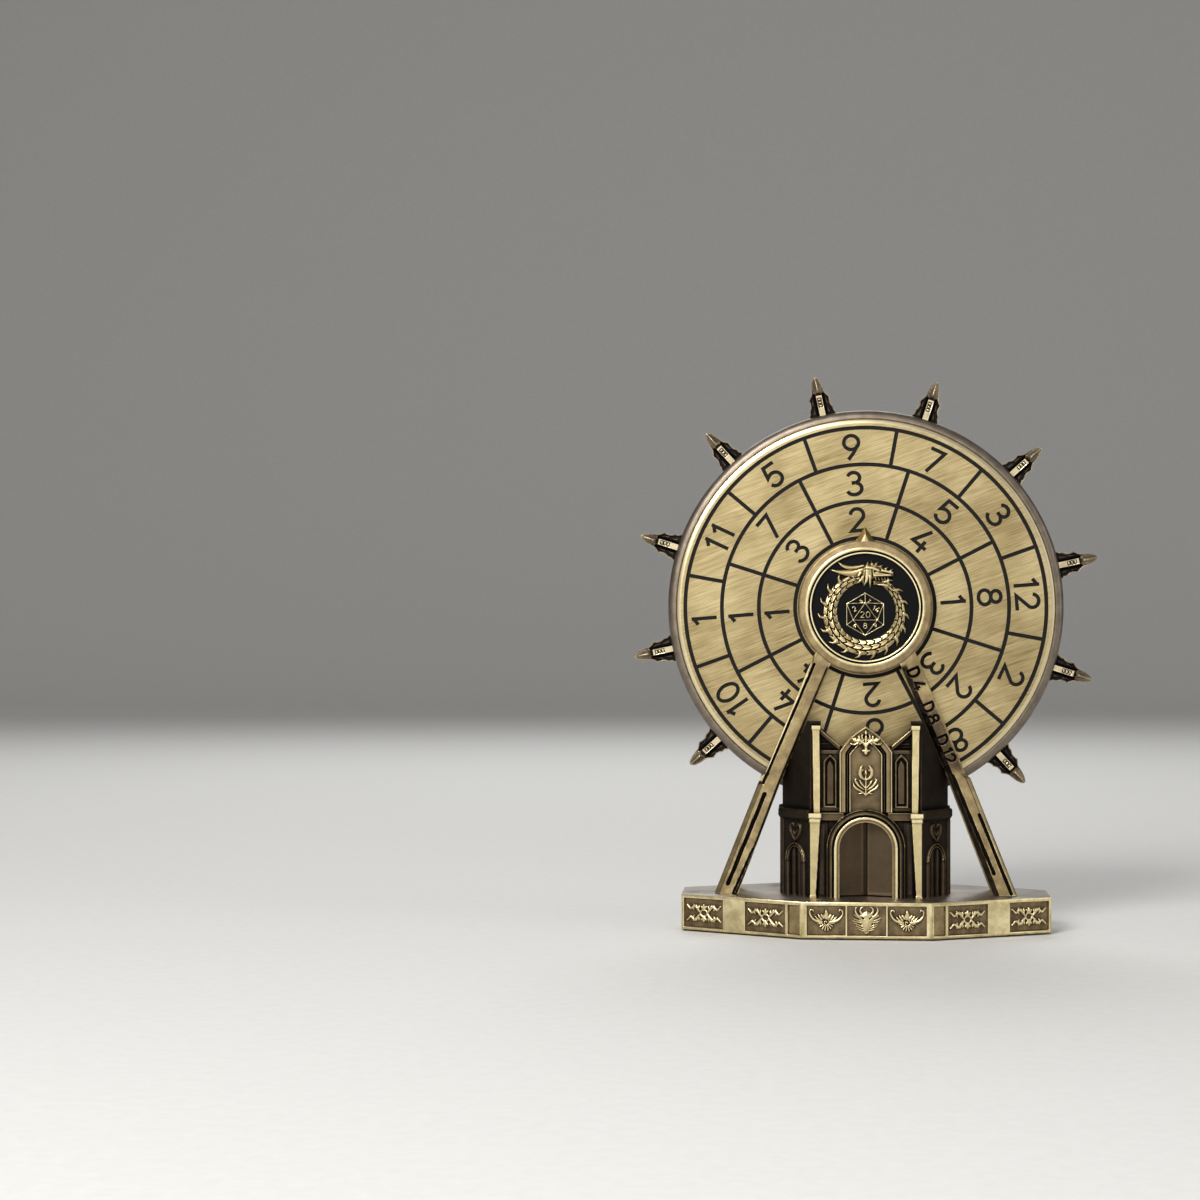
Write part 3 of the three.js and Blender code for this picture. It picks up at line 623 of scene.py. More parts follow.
def satin_plate(name):
    """The base's top: satin plating gone grey-brown, with faint polishing arcs and finger marks."""
    g = Graph(name)
    lines = g.streaks(0, 0.2, 8.0, 3.0)
    clouds = g.noise(0.12, 4.0, 0.6)
    level = g.total(g.vary(clouds, 0.2, 0.8), g.vary(lines, -0.15, 0.15), clamp=True)
    dirt = g.math("MULTIPLY", g.occlusion(2.5), 0.9)
    level = g.math("SUBTRACT", level, dirt, clamp=True)
    colour = g.ramp(level, [
        (0.0, (0.10, 0.082, 0.066)),
        (0.4, (0.30, 0.268, 0.235)),
        (1.0, (0.46, 0.420, 0.375)),
    ])
    return g.finish(colour, g.vary(clouds, 0.36, 0.46), g.bump(lines, 0.15, 0.01))


def ground_steel(name):
    g = Graph(name)
    lines = g.streaks(0, 6.0, 6.0, 3.0)
    colour = g.mottle(g.noise(0.8, 3.0, 0.5), (0.42, 0.42, 0.43), (0.62, 0.62, 0.63))
    return g.finish(colour, g.vary(lines, 0.22, 0.36), g.bump(lines, 0.1, 0.01))


def felt(name):
    g = Graph(name)
    fibres = g.noise(9.0, 6.0, 0.8)
    tufts = g.noise(1.5, 4.0, 0.7)
    colour = g.mottle(fibres, (0.006, 0.006, 0.007), (0.03, 0.03, 0.032))
    height = g.total(fibres, g.math("MULTIPLY", tufts, 0.5))
    return g.finish(colour, g.vary(tufts, 0.9, 1.0), g.bump(height, 0.8, 0.15), metallic=0.0)


BRASS = antique_metal("antique_brass")
BRONZE = antique_metal("dark_bronze", edge=0.35, crevice=0.8, patchy=0.10)
SATIN_BROWN = antique_metal("satin_brown", edge=0.2, crevice=0.5, patchy=0.05, rough=(0.5, 0.36))
RIM_FINISH = antique_metal("rim_bronze", tones=[
    (0.0, (0.012, 0.010, 0.009)), (0.2, (0.045, 0.037, 0.031)), (0.42, (0.185, 0.152, 0.122)),
    (0.66, (0.380, 0.320, 0.245)), (1.0, (0.780, 0.680, 0.500))], edge=0.25, patchy=0.12, rough=(0.5, 0.36))
MEDALLION_FINISH = antique_metal(
    "enamelled_relief", edge=0.3, crevice=0.5, patchy=0.06, gap=0.4, rough=(0.45, 0.30),
    tones=[(0.0, (0.010, 0.010, 0.011)), (0.2, (0.020, 0.018, 0.017)), *BRASS_TONES[2:]])
FINIAL_FINISH = antique_metal("finial_metal", edge=0.3, patchy=0.16, gap=0.6, tones=[
    (0.0, (0.010, 0.008, 0.008)), (0.2, (0.032, 0.026, 0.024)), (0.42, (0.115, 0.092, 0.072)),
    (0.66, (0.310, 0.248, 0.160)), (1.0, (0.820, 0.710, 0.460))])
FACE = brushed_face("brushed_dial")
BLACK = enamel("groove_paint")
SATIN = satin_plate("satin_top")
STEEL = ground_steel("ground_steel")
FELT = felt("felt_pad")

# ------------------------------------------------------------------ dial

RINGS = [13.7, 20.85, 28.15, 35.4]
GROOVE = 0.38  # half the width of an engraved circle
GROOVE_DEPTH = 0.3
OUTER_NUMBERS = [9, 7, 3, 12, 2, 8, 6, 4, 10, 1, 11, 5]
MIDDLE_NUMBERS = [3, 5, 8, 2, 6, 4, 1, 7]
INNER_NUMBERS = [2, 4, 1, 3, 2, 4, 1, 3]
DIAL_EDGE = 36.25
DIAL_BORE = 8.35
DIAL_FRONT = 3.0
DIAL_STEPS = [(36.45, 2.98), (37.0, 2.72), (37.15, 2.45), (37.15, 1.8)]  # the edge: radius, front


def dial_strokes():
    strokes = []
    for numbers, radius in ((OUTER_NUMBERS, 31.75), (MIDDLE_NUMBERS, 24.45), (INNER_NUMBERS, 17.3)):
        for i, number in enumerate(numbers):
            turn = -i * 360 / len(numbers)
            angle = math.radians(90 + turn)
            spot = radius * math.cos(angle), radius * math.sin(angle)
            strokes += moved(lettering(str(number)), *spot, turn)
    return strokes


def dial_lines():
    lines = []
    for count, low, high in ((12, RINGS[2], RINGS[3]), (8, RINGS[1], RINGS[2]), (8, RINGS[0], RINGS[1])):
        for i in range(count):
            angle = math.radians(90 + (i + 0.5) * 360 / count)
            lines.append(([(r * math.cos(angle), r * math.sin(angle)) for r in (low, high)], False))
    return lines


def make_dial(name):
    """The engraved face is one flat sheet, triangulated around every groove, whose grooves are then sunk."""
    turns = 288
    points, edges, sunk = [], [], []

    def loop(ring, deep):
        start = len(points)
        points.extend((float(x), float(z)) for x, z in ring)
        sunk.extend([deep] * len(ring))
        edges.extend((start + i, start + (i + 1) % len(ring)) for i in range(len(ring)))

    def circle(radius, deep):
        loop(arc(0, 0, radius, radius, 0, 360, turns + 1)[:-1], deep)

    circle(DIAL_EDGE, False)
    circle(DIAL_BORE, False)
    for radius in RINGS:
        for side in (-1, 1):
            circle(radius + side * GROOVE, False)
            circle(radius + side * (GROOVE - EDGE), True)
    numerals, lines = dial_strokes(), dial_lines()
    for strokes, half in ((numerals, PEN), (lines, GROOVE)):
        for stroke in strokes:
            for outline in ribbon(stroke, half, 0):
                loop(outline, False)
            for outline in ribbon(stroke, half - EDGE, EDGE if half == PEN else 0):
                loop(outline, True)
    found, _, triangles, origins, _, _ = delaunay_2d_cdt([Vector(p) for p in points], edges, [], 0, 1e-4)
    x, z = np.array(found).T
    radius = np.hypot(x, z)
    depth = np.zeros(len(x))

    def groove(distance, half):
        np.maximum(depth, np.clip((half - distance) / EDGE, 0, 1), out=depth)

    for ring in RINGS:
        groove(np.abs(radius - ring), GROOVE)
    for stroke in lines:
        groove(to_line(x, z, stroke[0]), GROOVE)
    for stroke in numerals:
        middle = np.mean(stroke[0], axis=0)
        near = np.hypot(x - middle[0], z - middle[1]) < 5
        part = np.clip((PEN - stroke_distance(x[near], z[near], stroke, PEN)) / EDGE, 0, 1)
        depth[near] = np.maximum(depth[near], part)
    for i, origin in enumerate(origins):
        if any(sunk[o] for o in origin):
            depth[i] = 1
    y = -DIAL_FRONT + depth * GROOVE_DEPTH
    triangles = np.array(triangles)
    middle = np.hypot(x[triangles].mean(1), z[triangles].mean(1))
    triangles = triangles[(middle < DIAL_EDGE) & (middle > DIAL_BORE)]
    sheet = bmesh.new()
    vertices = [sheet.verts.new(p) for p in np.stack([x, y, z], -1)]
    for triangle in triangles:
        sheet.faces.new([vertices[i] for i in triangle])
    for loose in [v for v in sheet.verts if not v.link_faces]:
        sheet.verts.remove(loose)
    for outer, front in DIAL_STEPS:
        border = [e for e in sheet.edges if e.is_boundary]
        grown = bmesh.ops.extrude_edge_only(sheet, edges=border)["geom"]
        for v in [g for g in grown if isinstance(g, bmesh.types.BMVert)]:
            away = math.hypot(v.co.x, v.co.z)
            wider = outer / away if away > RINGS[0] else 1
            v.co = Vector((v.co.x * wider, -front, v.co.z * wider))
    bmesh.ops.bridge_loops(sheet, edges=[e for e in sheet.edges if e.is_boundary])
    bmesh.ops.recalc_face_normals(sheet, faces=sheet.faces)
    bmesh.ops.scale(sheet, vec=(MM, MM, MM), verts=sheet.verts)
    mesh = bpy.data.meshes.new(name)
    sheet.to_mesh(mesh)
    sheet.free()
    made = new_object(name, mesh)
    # The band from the engraved face's edge out to the rim is tinted bright: a painted highlight on the edge
    # chamfer.
    dress(made, FACE, lambda px, py, pz: smooth((np.hypot(px, pz) - 36.2) / 0.2) * 0.8, angle=20)

    def engraved(cx, cy, cz):
        return (cy > -DIAL_FRONT + GROOVE_DEPTH * 0.2) & (cy < -2.6) & (np.hypot(cx, cz) < DIAL_EDGE)

    return finish_where(made, BLACK, engraved)


# ------------------------------------------------------------------ wheel


def make_rim(name):
    """The wheel's body: a hub, a web and a rim with rounded shoulders."""
    shoulder = arc(37.35, 1.15, 1.55, 1.4, 90, 0, 9)
    front = [(6.45, 2.3), (8.2, 2.3), (8.2, 1.6), (37.22, 1.6), (37.22, 2.45), *shoulder]
    profile = front + [(radius, -depth) for radius, depth in reversed(front)]

    def wear(x, _, z):
        return 0.46 - 0.42 * smooth((37.2 - np.hypot(x, z)) / 0.2)

    return dress(lathe(name, profile, 256), RIM_FINISH, wear)


FINIAL_ROOT = 38.6
FINIAL_TIP = 46.69
FINIAL_GRID = 0.085
WING = [
    (2.85, 38.6), (2.75, 39.0), (2.45, 39.5), (2.42, 40.19), (2.05, 40.8), (1.95, 41.28), (2.0, 41.8),
    (2.15, 42.31), (1.75, 42.8), (1.38, 43.34), (1.25, 43.8), (1.15, 44.53), (0.95, 45.3), (0.68, 46.05),
    (0.36, 46.5), (0.12, FINIAL_TIP),
]


def finial_shape(x, z):
    """Half the thickness of a finial: a deep rib between two thin recessed wings, then a leaf-shaped tip."""
    side = np.abs(x)
    field = Field(x, z, 0.5, 0.50)
    edge = in_polygon(side, z, [(-1.0, 38.0), *WING, (-1.0, 46.72)])
    field.put(np.maximum(edge + 0.26, 1.0 - side), 0.24, 0.14)
    for low in (39.3, 41.1):
        field.put(in_polygon(side, z, [(1.2, low), (1.75, low), (1.2, low + 1.6)]), 0.36, 0.28)
    field.put(in_box(side, z, (0.6, 38.0), (0.88, 43.4)), 0.15, 0.0, 0.12)
    leaf = [(0.7, 43.1), (1.0, 43.9), (0.85, 45.1), (0.5, 46.1), (0.0, 46.8)]
    blade = -in_polygon(side, z, [(-1.5, 43.1), *leaf, (-1.5, 46.8)])
    inside = smooth(blade / 0.08)
    field.height += (0.4 + 0.75 * np.clip(blade / 0.9, 0, 1) - field.height) * inside
    field.wear += (0.60 + 0.12 * smooth((0.16 - side) / 0.12) - field.wear) * inside
    field.put(to_line(side, z, [(0.42, 43.6), (0.3, 45.2)]) - 0.06, None, 0.38, 0.12)
    field.put(in_box(side, z, (-1.0, 38.0), (0.64, 42.95)), 1.4, 0.84, 0.12)
    for middle in (40.85, 41.5, 42.15):
        tile = in_box(side, z, (-1.0, middle - 0.22), (0.34, middle + 0.22))
        field.put(np.abs(tile) - 0.05, 1.25, 0.3, 0.1)
    field.put(in_box(side, z, (-1.0, 42.95), (0.8, 43.15)), 0.5, 0.03, 0.12)
    return field


def make_finial(name):
    x, z = grid((-3.0, FINIAL_ROOT), (3.0, FINIAL_TIP + 0.26), FINIAL_GRID)
    height = finial_shape(x, z).height
    made = block(name, np.stack([x, -height, z], -1), np.stack([x, height, z], -1))
    outline = [*WING, *[(-px, pz) for px, pz in reversed(WING)]]
    combine(made, prism("cut", outline, 3, -3), "INTERSECT")
    return dress(made, FINIAL_FINISH, wear_of(finial_shape), angle=50)


# ------------------------------------------------------------------ base

HALF_LENGTH = 36
HALF_DEPTH = 18.4
END_HALF = 6.2
FLAT_HALF = 12.5
PAD_PROUD = 0.3
PANEL_LOW = PAD_PROUD + 0.6
PANEL_HIGH = TOP - 0.75
PANEL_MIDDLE = (PANEL_LOW + PANEL_HIGH) / 2
PANEL_HALF = (PANEL_HIGH - PANEL_LOW) / 2
PANEL_DEPTH = 0.5
SLANT = math.hypot(HALF_LENGTH - FLAT_HALF, HALF_DEPTH - END_HALF)


def base_outline(inset=0.0):
    nx, ny = (HALF_DEPTH - END_HALF) / SLANT, (HALF_LENGTH - FLAT_HALF) / SLANT
    reach = nx * HALF_LENGTH + ny * END_HALF - inset
    x, y = HALF_LENGTH - inset, HALF_DEPTH - inset
    quarter = [(x, (reach - nx * x) / ny), ((reach - ny * y) / nx, y)]
    half = quarter + [(-px, py) for px, py in reversed(quarter)]
    return half + [(-px, -py) for px, py in half]


def facet_frame(start, end):
    """Turns a panel drawn at the origin onto a facet: x along it, -y out of it."""
    along = Vector((end[0] - start[0], end[1] - start[1], 0)).normalized()
    matrix = Matrix((along, Vector((-along.y, along.x, 0)), Vector((0, 0, 1)))).transposed().to_4x4()
    return along, matrix


def facet_places():
    """(frame matrix, half length, kind) of every recessed panel."""
    front_left, front_right = (-FLAT_HALF, -HALF_DEPTH), (FLAT_HALF, -HALF_DEPTH)
    end_low, end_high = (HALF_LENGTH, -END_HALF), (HALF_LENGTH, END_HALF)
    panels = []

    def facet(start, end, items):
        along, matrix = facet_frame(start, end)
        for middle, half, kind in items:
            spot = matrix.copy()
            spot.translation = Vector((start[0], start[1], 0)) + along * middle
            panels.append((spot, half, kind))

    facet(front_left, front_right, [
        (FLAT_HALF - 7.7, 3.67, "rosette"), (FLAT_HALF, 3.67, "mask"), (FLAT_HALF + 7.7, 3.67, "rosette")])
    facet(front_right, end_low, [
        (SLANT - 24.85, 1.3, "plain"), (SLANT - 18.6, 4.4, "foliage"), (SLANT - 4.9, 4.4, "foliage")])
    facet((-HALF_LENGTH, -END_HALF), front_left, [
        (24.85, 1.3, "plain"), (18.6, 4.4, "foliage"), (4.9, 4.4, "foliage")])
    facet(end_low, end_high, [(END_HALF, END_HALF - 1, "wide")])
    return panels + [(HALF_TURN @ matrix, half, kind) for matrix, half, kind in panels]


def make_base(name):
    """The base casting, with a recess for every panel and a satin top."""
    made = slab(name, base_outline(), PAD_PROUD, TOP)
    combine(made, slab("cut", base_outline(2.0), PAD_PROUD - 1, 1.9), "DIFFERENCE")
    combine(made, slab("cut", base_outline(3.2), PAD_PROUD - 1, 4.8), "DIFFERENCE")
    for matrix, half, _ in facet_places():
        corners = [(-half, PANEL_LOW), (half, PANEL_LOW), (half, PANEL_HIGH), (-half, PANEL_HIGH)]
        tool = prism("cut", corners, 1, -PANEL_DEPTH)
        tool.data.transform(Matrix.Scale(MM, 4) @ matrix @ Matrix.Scale(1 / MM, 4))
        combine(made, tool, "DIFFERENCE")
    soften(made, 0.13, 3)
    dress(made, BRASS, lambda x, y, z: 0.93 - 0.5 * smooth((PAD_PROUD + 0.2 - z) / 0.2))
    return finish_where(made, SATIN, lambda x, y, z: z > TOP - 0.04)


def ground(x, z, half):
    """A panel's ground, a little lower and darker along its border."""
    field = Field(x, z, 0.07, 0.50)
    across, up = half - 0.1, PANEL_HALF - 0.1
    field.put(-in_box(x, z, (-across, -up), (across, up)), 0.03, 0.12, 0.3)
    return field


def horned_rosette(x, z):
    """A half sunburst with a spiral heart under a bud, between two long curling horns."""
    field = ground(x, z, 3.67)

    def spot(turn, reach, half):
        """A stroke's point at a distance from the heart."""
        return reach * math.cos(turn), reach * math.sin(turn) - 0.35, half

    lines = [[(0, 0.6, 0.45), (0, 1.1, 0.5), (0, 1.6, 0.3), (0, 2.15, 0.04)]]
    for turn in np.radians((-168, -144, -120, -98, -76, -54, -30, -8)):
        lines.append([spot(turn, 0.7, 0.14), spot(turn, 1.15 + 0.35 * abs(math.sin(turn)), 0.2)])
    lines.append([spot(turn, 0.1 + turn * 0.08, 0.13) for turn in np.linspace(0, 8.2, 24)])
    lines += mirrored(curved((
        (0.85, -0.25, 0.28), (1.6, -0.15, 0.32), (2.35, 0.2, 0.28), (2.9, 0.8, 0.22), (3.15, 1.45, 0.18),
        (3.0, 1.95, 0.17), (2.6, 2.05, 0.17), (2.42, 1.7, 0.12),
    )))
    lines += mirrored([
        [(0.5, 0.55, 0.3), (0.85, 1.0, 0.26), (0.95, 1.3, 0.06)],
        [(0.9, 0.2, 0.28), (1.3, 0.75, 0.24), (1.5, 1.15, 0.06)],
        [(1.35, 0.05, 0.26), (1.85, 0.55, 0.2), (2.1, 0.85, 0.05)],
        [(1.2, -0.3, 0.2), (1.7, -0.75, 0.05)],
    ])
    field.swell(lines, 0.44, 0.97)
    return field


def horned_mask(x, z):
    """A beast's long skull with curling horns and feathery ruffs."""
    side = np.abs(x)
    field = ground(x, z, 3.67)
    field.swell(mirrored([
        [(1.3, 0.4, 0.2), (1.9, 0.75, 0.18), (2.4, 1.2, 0.04)],
        [(1.3, 0.0, 0.2), (2.1, 0.25, 0.16), (2.75, 0.6, 0.04)],
        [(1.2, -0.35, 0.2), (2.0, -0.2, 0.16), (2.65, 0.1, 0.04)],
        [(0.9, -1.0, 0.18), (1.6, -0.75, 0.16), (2.3, -0.5, 0.04)],
        [(0.75, -1.5, 0.16), (1.5, -1.2, 0.16), (2.15, -0.9, 0.04)],
        [(0.6, -1.95, 0.14), (1.1, -1.7, 0.13), (1.7, -1.5, 0.04)],
    ]), 0.3, 0.80)
    field.swell(mirrored(curved(
        ((0.95, 1.4, 0.26), (1.22, 1.85, 0.21), (1.15, 2.3, 0.17), (0.85, 2.6, 0.14), (0.5, 2.7, 0.08)),
        ((1.4, 0.8, 0.3), (1.9, 1.3, 0.25), (2.12, 1.9, 0.19), (2.05, 2.4, 0.15), (1.8, 2.7, 0.08)),
    )), 0.42, 0.97)
    skull = [(0, 1.95), (0.35, 1.78), (0.95, 1.55), (1.4, 1.1), (1.5, 0.65), (1.25, 0.0), (1.0, -0.7),
             (0.75, -1.4), (0.58, -1.95), (0.42, -2.4), (0, -2.6)]
    field.dome(in_polygon(side, z, [(-1.5, 1.95), *skull, (-1.5, -2.6)]), 0.75, 0.47, 0.90)
    field.put(in_polygon(side, z, [(0.45, 0.45), (0.95, 0.85), (0.9, 0.55), (0.65, 0.3)]), 0.2, 0.3, 0.2)
    field.put(np.hypot(side - 0.15, z + 2.0) - 0.06, 0.3, 0.3)
    return field


def crossed_foliage(x, z):
    """Two leafy sprays that cross, with a round flower over and under the crossing."""
    field = ground(x, z, 4.4)
    spray = curved(
        ((0.7, 0.0, 0.18), (1.0, 0.35, 0.24), (1.4, 0.85, 0.34), (1.7, 1.3, 0.3), (1.85, 1.62, 0.1)),
        ((1.4, 0.85, 0.26), (2.1, 1.32, 0.32), (2.55, 1.05, 0.26), (2.95, 0.8, 0.27), (3.35, 1.12, 0.21),
         (3.75, 1.5, 0.17)),
    )
    spray += [
        [(2.45, 1.0, 0.26), (2.25, 0.6, 0.15)], [(1.25, 0.75, 0.28), (1.05, 1.2, 0.22), (1.15, 1.5, 0.08)],
        [(2.0, 1.3, 0.24), (2.35, 1.62, 0.14)], [(0.25, 0.72, 0.2), (0.7, 0.3, 0.2)],
        [(0, 0.55, 0.16), (0, 1.05, 0.44), (0, 1.6, 0.24)], [(0.1, 0.85, 0.26), (0.48, 1.25, 0.26)],
    ]
    crossing = [(px, pz, 0.15) for px, pz in arc(0, 0, 0.7, 0.62, 0, 360, 17)]
    field.swell([crossing, *mirrored(spray, ALL_QUARTERS)], 0.42, 0.94)
    return field


def wide_foliage(x, z):
    """The end facets: the crossed sprays between two standing buds."""
    field = crossed_foliage(x, z)
    bud = [(4.6, -1.4, 0.3), (4.6, 0.1, 0.38), (4.6, 1.4, 0.06)]
    leaves = [[(4.6, -0.9, 0.2), (tip, -0.2, 0.06)] for tip in (4.2, 5.0)]
    field.swell(mirrored([bud, *leaves]), 0.42, 0.9)
    return field


def plain_ground(x, z):
    field = ground(x, z, 1.3)
    field.wear += 0.12
    return field


SHAPES = {
    "rosette": (horned_rosette, 3.65), "mask": (horned_mask, 3.65), "foliage": (crossed_foliage, 4.38),
    "wide": (wide_foliage, 5.18), "plain": (plain_ground, 1.28),
}


def make_panel(kind):
    shape, half = SHAPES[kind]
    made = relief("panel_" + kind, (-half, -PANEL_HALF + 0.02), (half, PANEL_HALF - 0.02), 0.06, shape, -0.3)
    return dress(made, BRASS, wear_of(shape), angle=60)


# ------------------------------------------------------------------ A-frames

LEG_BACK = 3.7
LEG_FACE = 6.2
LEG_SLOPE = 0.923  # a level distance across a leg, as a share of the distance square to its edge
LEG_HEIGHT = 48.0
RING_FACE = 7.3
RING_INSIDE = 12.5
LABEL_SIZE = 2.5
LABEL_TURN = -66.5  # degrees


def leg_edges(height):
    """Distances of a leg's inner and outer edges from the middle, at heights above the base's top."""
    inner = np.interp(height, [0, 22.6, 45.9], [24.9, 16.3, 6.5])
    outer = np.interp(height, [0, 22.9, 23.5, 48.8], [29.5, 20.45, 19.6, 9.2])
    return inner, outer


def leg_common(x, z, inner_chamfer):
    """A plain leg, with chamfered edges and a rise to the hub ring, and the distances to its edges."""
    inner, outer = leg_edges(z)
    field = Field(x, z, LEG_FACE, 0.67)
    to_inner, to_outer = (x - inner) * LEG_SLOPE, (outer - x) * LEG_SLOPE
    low = smooth((24.0 - z) / 0.8)
    chamfer = np.clip(1 - to_outer / 0.85, 0, 1) * low
    field.height -= chamfer * 0.75
    field.wear += smooth(chamfer * 4) * 0.04
    field.wear -= smooth(1 - np.abs(to_outer - 0.85) / 0.12) * 0.4 * low
    field.height -= np.clip(1 - to_outer / 0.16, 0, 1) * 0.14
    from_hub = np.hypot(x, z + FOOT - HUB)
    free = smooth((from_hub - 13.4) / 1.2)
    field.height -= np.clip(1 - to_inner / inner_chamfer, 0, 1) * inner_chamfer * 0.8 * free
    # Painted shade: the inner chamfer is coloured darker, standing in for the shaded inner side of the leg;
    # the line along the very edge is rubbed bright.
    field.wear -= smooth((inner_chamfer - to_inner) / 0.1) * 0.42 * free
    field.wear += smooth(1 - to_inner / 0.14) * 0.25 * free
    field.height += (RING_FACE - 0.17 - LEG_FACE) * smooth((18.5 - from_hub) / 5.2)
    return field, to_inner, to_outer


def left_leg(x, z):
    """The left leg, drawn as if it were on the right."""
    field, to_inner, _ = leg_common(x, z, 0.5)
    upper = to_line(x, z, [(19.9, 21.8), (9.96, 45.1)]) - 0.22
    field.put(upper, LEG_FACE - 0.45, 0.02, 0.14)
    rail = in_polygon(x, z, [(20.1, 22.0), (10.2, 45.3), (9.7, 48.5), (25.0, 23.0)])
    field.put(rail, LEG_FACE - 0.05, 0.85, 0.2)
    field.put(to_line(x, z, [(19.9, 21.8), (21.2, 21.55)]) - 0.14, LEG_FACE - 0.4, 0.05, 0.14)
    slot = to_line(x, z, [(19.65, 19.6), (26.85, 1.95)])
    field.put(slot - 0.34, LEG_FACE - 0.5, 0.0, 0.14)
    field.put(np.abs(slot - 0.02) - 0.05, LEG_FACE - 0.4, 0.3, 0.1)
    step = in_polygon(x, z, [(20.2, 10.2), (22.15, 8.9), (26.2, -0.2), (22.5, -0.5)])
    field.put(step, LEG_FACE - 0.45, 0.1, 0.14)
    field.put(to_line(x, z, [(22.0, 8.0), (25.5, 0.2)]) - 0.12, LEG_FACE - 0.2, 0.42, 0.14)
    field.put(to_inner - 0.12, None, 0.62, 0.1)
    return field


# The generic dice names on a leg: letter, height and distance from the middle.
LEG_LABELS = [
    ("D", 43.5, 9.45), ("4", 41.05, 10.45), ("D", 36.7, 12.25), ("8", 34.4, 13.2),
    ("D", 30.3, 14.95), ("1", 28.2, 15.85), ("2", 26.7, 16.45),
]


def right_leg(x, z):
    field, _, to_outer = leg_common(x, z, 1.1)
    patina = smooth((z - 23.5) / 2) * smooth((40.5 - z) / 9)
    field.wear -= patina * 0.34 * smooth(to_outer / 0.6)
    for letter, height, middle in LEG_LABELS:
        for stroke in moved(lettering(letter, LABEL_SIZE), middle, height, LABEL_TURN):
            near = stroke_distance(x, z, stroke, 0.24)
            field.put(near - 0.35, None, 0.42, 0.5)
            field.put(near - 0.2, LEG_FACE - 0.35, 0.0, 0.12)
    field.put(to_line(x, z, [(17.05, 23.3), (24.95, 4.3)]) - 0.28, LEG_FACE - 0.5, 0.0, 0.14)
    field.put(to_line(x, z, [(22.15, 15.8), (28.3, 0.4)]) - 0.28, LEG_FACE - 0.5, 0.0, 0.14)
    return field


def make_leg(name, shape, side):
    """A leg on a grid whose columns run from its inner edge to its outer edge."""
    rows = np.linspace(0, LEG_HEIGHT, 560)
    inner, outer = leg_edges(rows)
    share = np.linspace(0, 1, 44)
    x = inner[:, None] + (outer - inner)[:, None] * share
    z = np.repeat(rows[:, None], len(share), 1)
    height = shape(x, z).height
    front = np.stack([side * x, -height, z + FOOT], -1)
    if side < 0:
        front = front[:, ::-1]
    made = block(name, front, LEG_BACK)
    inside = arc(0, HUB, RING_INSIDE, RING_INSIDE, 0, 360, 97)[:-1]
    combine(made, prism("cut", inside, 9, 0), "DIFFERENCE")
    return dress(made, BRASS, lambda px, py, pz: shape(np.abs(px), pz - FOOT).wear, angle=50)


def make_ring(name):
    """The hub ring, open to the front, with a thin rail along its inner edge."""
    profile = [
        (3.3, LEG_BACK), (13.1, LEG_BACK), (13.1, 6.88), (13.06, 7.02), (12.96, 7.12), (12.8, 7.18),
        (12.5, 7.2), (11.75, 7.21), (11.62, 7.24), (11.5, RING_FACE), (11.3, RING_FACE), (11.17, 7.25),
        (11.1, 7.12), (11.06, 6.9), (11.06, 5.6), (3.3, 5.6),
    ]

    def wear(x, _, z):
        radius = np.hypot(x, z - HUB)
        rail = smooth((11.75 - radius) / 0.1) * smooth((radius - 11.1) / 0.05)
        # Painted shade: the outer shoulder from 12.6 mm outward is coloured darker, standing in for the
        # shade on the ring's outer bevel. The rail is rubbed bright.
        shoulder = smooth((radius - 12.6) / 0.3)
        return 0.62 + 0.32 * rail - 0.12 * shoulder - 0.5 * smooth((11.1 - radius) / 0.04)

    return dress(lathe(name, profile, 240, HUB), BRASS, wear, angle=28)


def make_pointer(name):
    """The pointer's stepped tongue above the hub ring."""
    top = [(-1.6, 12.1), (-0.85, 12.75), (-0.5, 13.3), (0, 14.4), (0.5, 13.3), (0.85, 12.75), (1.6, 12.1)]
    foot = [(-2.9, 12.3), (-1.75, 13.2), (-1.15, 14.0), (0, 15.8), (1.15, 14.0), (1.75, 13.2), (2.9, 12.3)]
    levels = [(top, 7.15), (top, 7.0), (foot, 5.2), (foot, 4.2)]
    points = [(x, -front, z + HUB) for ring, front in levels for x, z in ring]
    count = len(top)
    faces = [list(range(count)), list(range(3 * count, 4 * count))]
    for start in range(0, 3 * count, count):
        for i in range(count):
            j = (i + 1) % count
            faces.append([start + i, start + j, start + count + j, start + count + i])
    made = soften(solid(name, points, faces), 0.09, 2, 20)
    return dress(made, BRASS, lambda x, y, z: 0.5 + 0.24 * smooth((-y - 6.7) / 0.3))


# ------------------------------------------------------------------ medallion

MEDALLION = 10.75
MEDALLION_GROUND = 6.15
MEDALLION_BACK = 5.7
RING_MIDDLE = -1.1  # height of the serpent's ring relative to the hub
RING_RADIUS = 6.85
DIE_MIDDLE = -1.4
NECK = math.radians(99)  # where the ring's thick end meets the head


def ring_half(share):
    """Half the width of the serpent's body, from its neck round to the tip of its tail."""
    return np.interp(share, [0, 0.08, 0.25, 0.5, 0.72, 0.88, 1], [0.9, 1.15, 1.5, 1.6, 1.0, 0.75, 0.5])


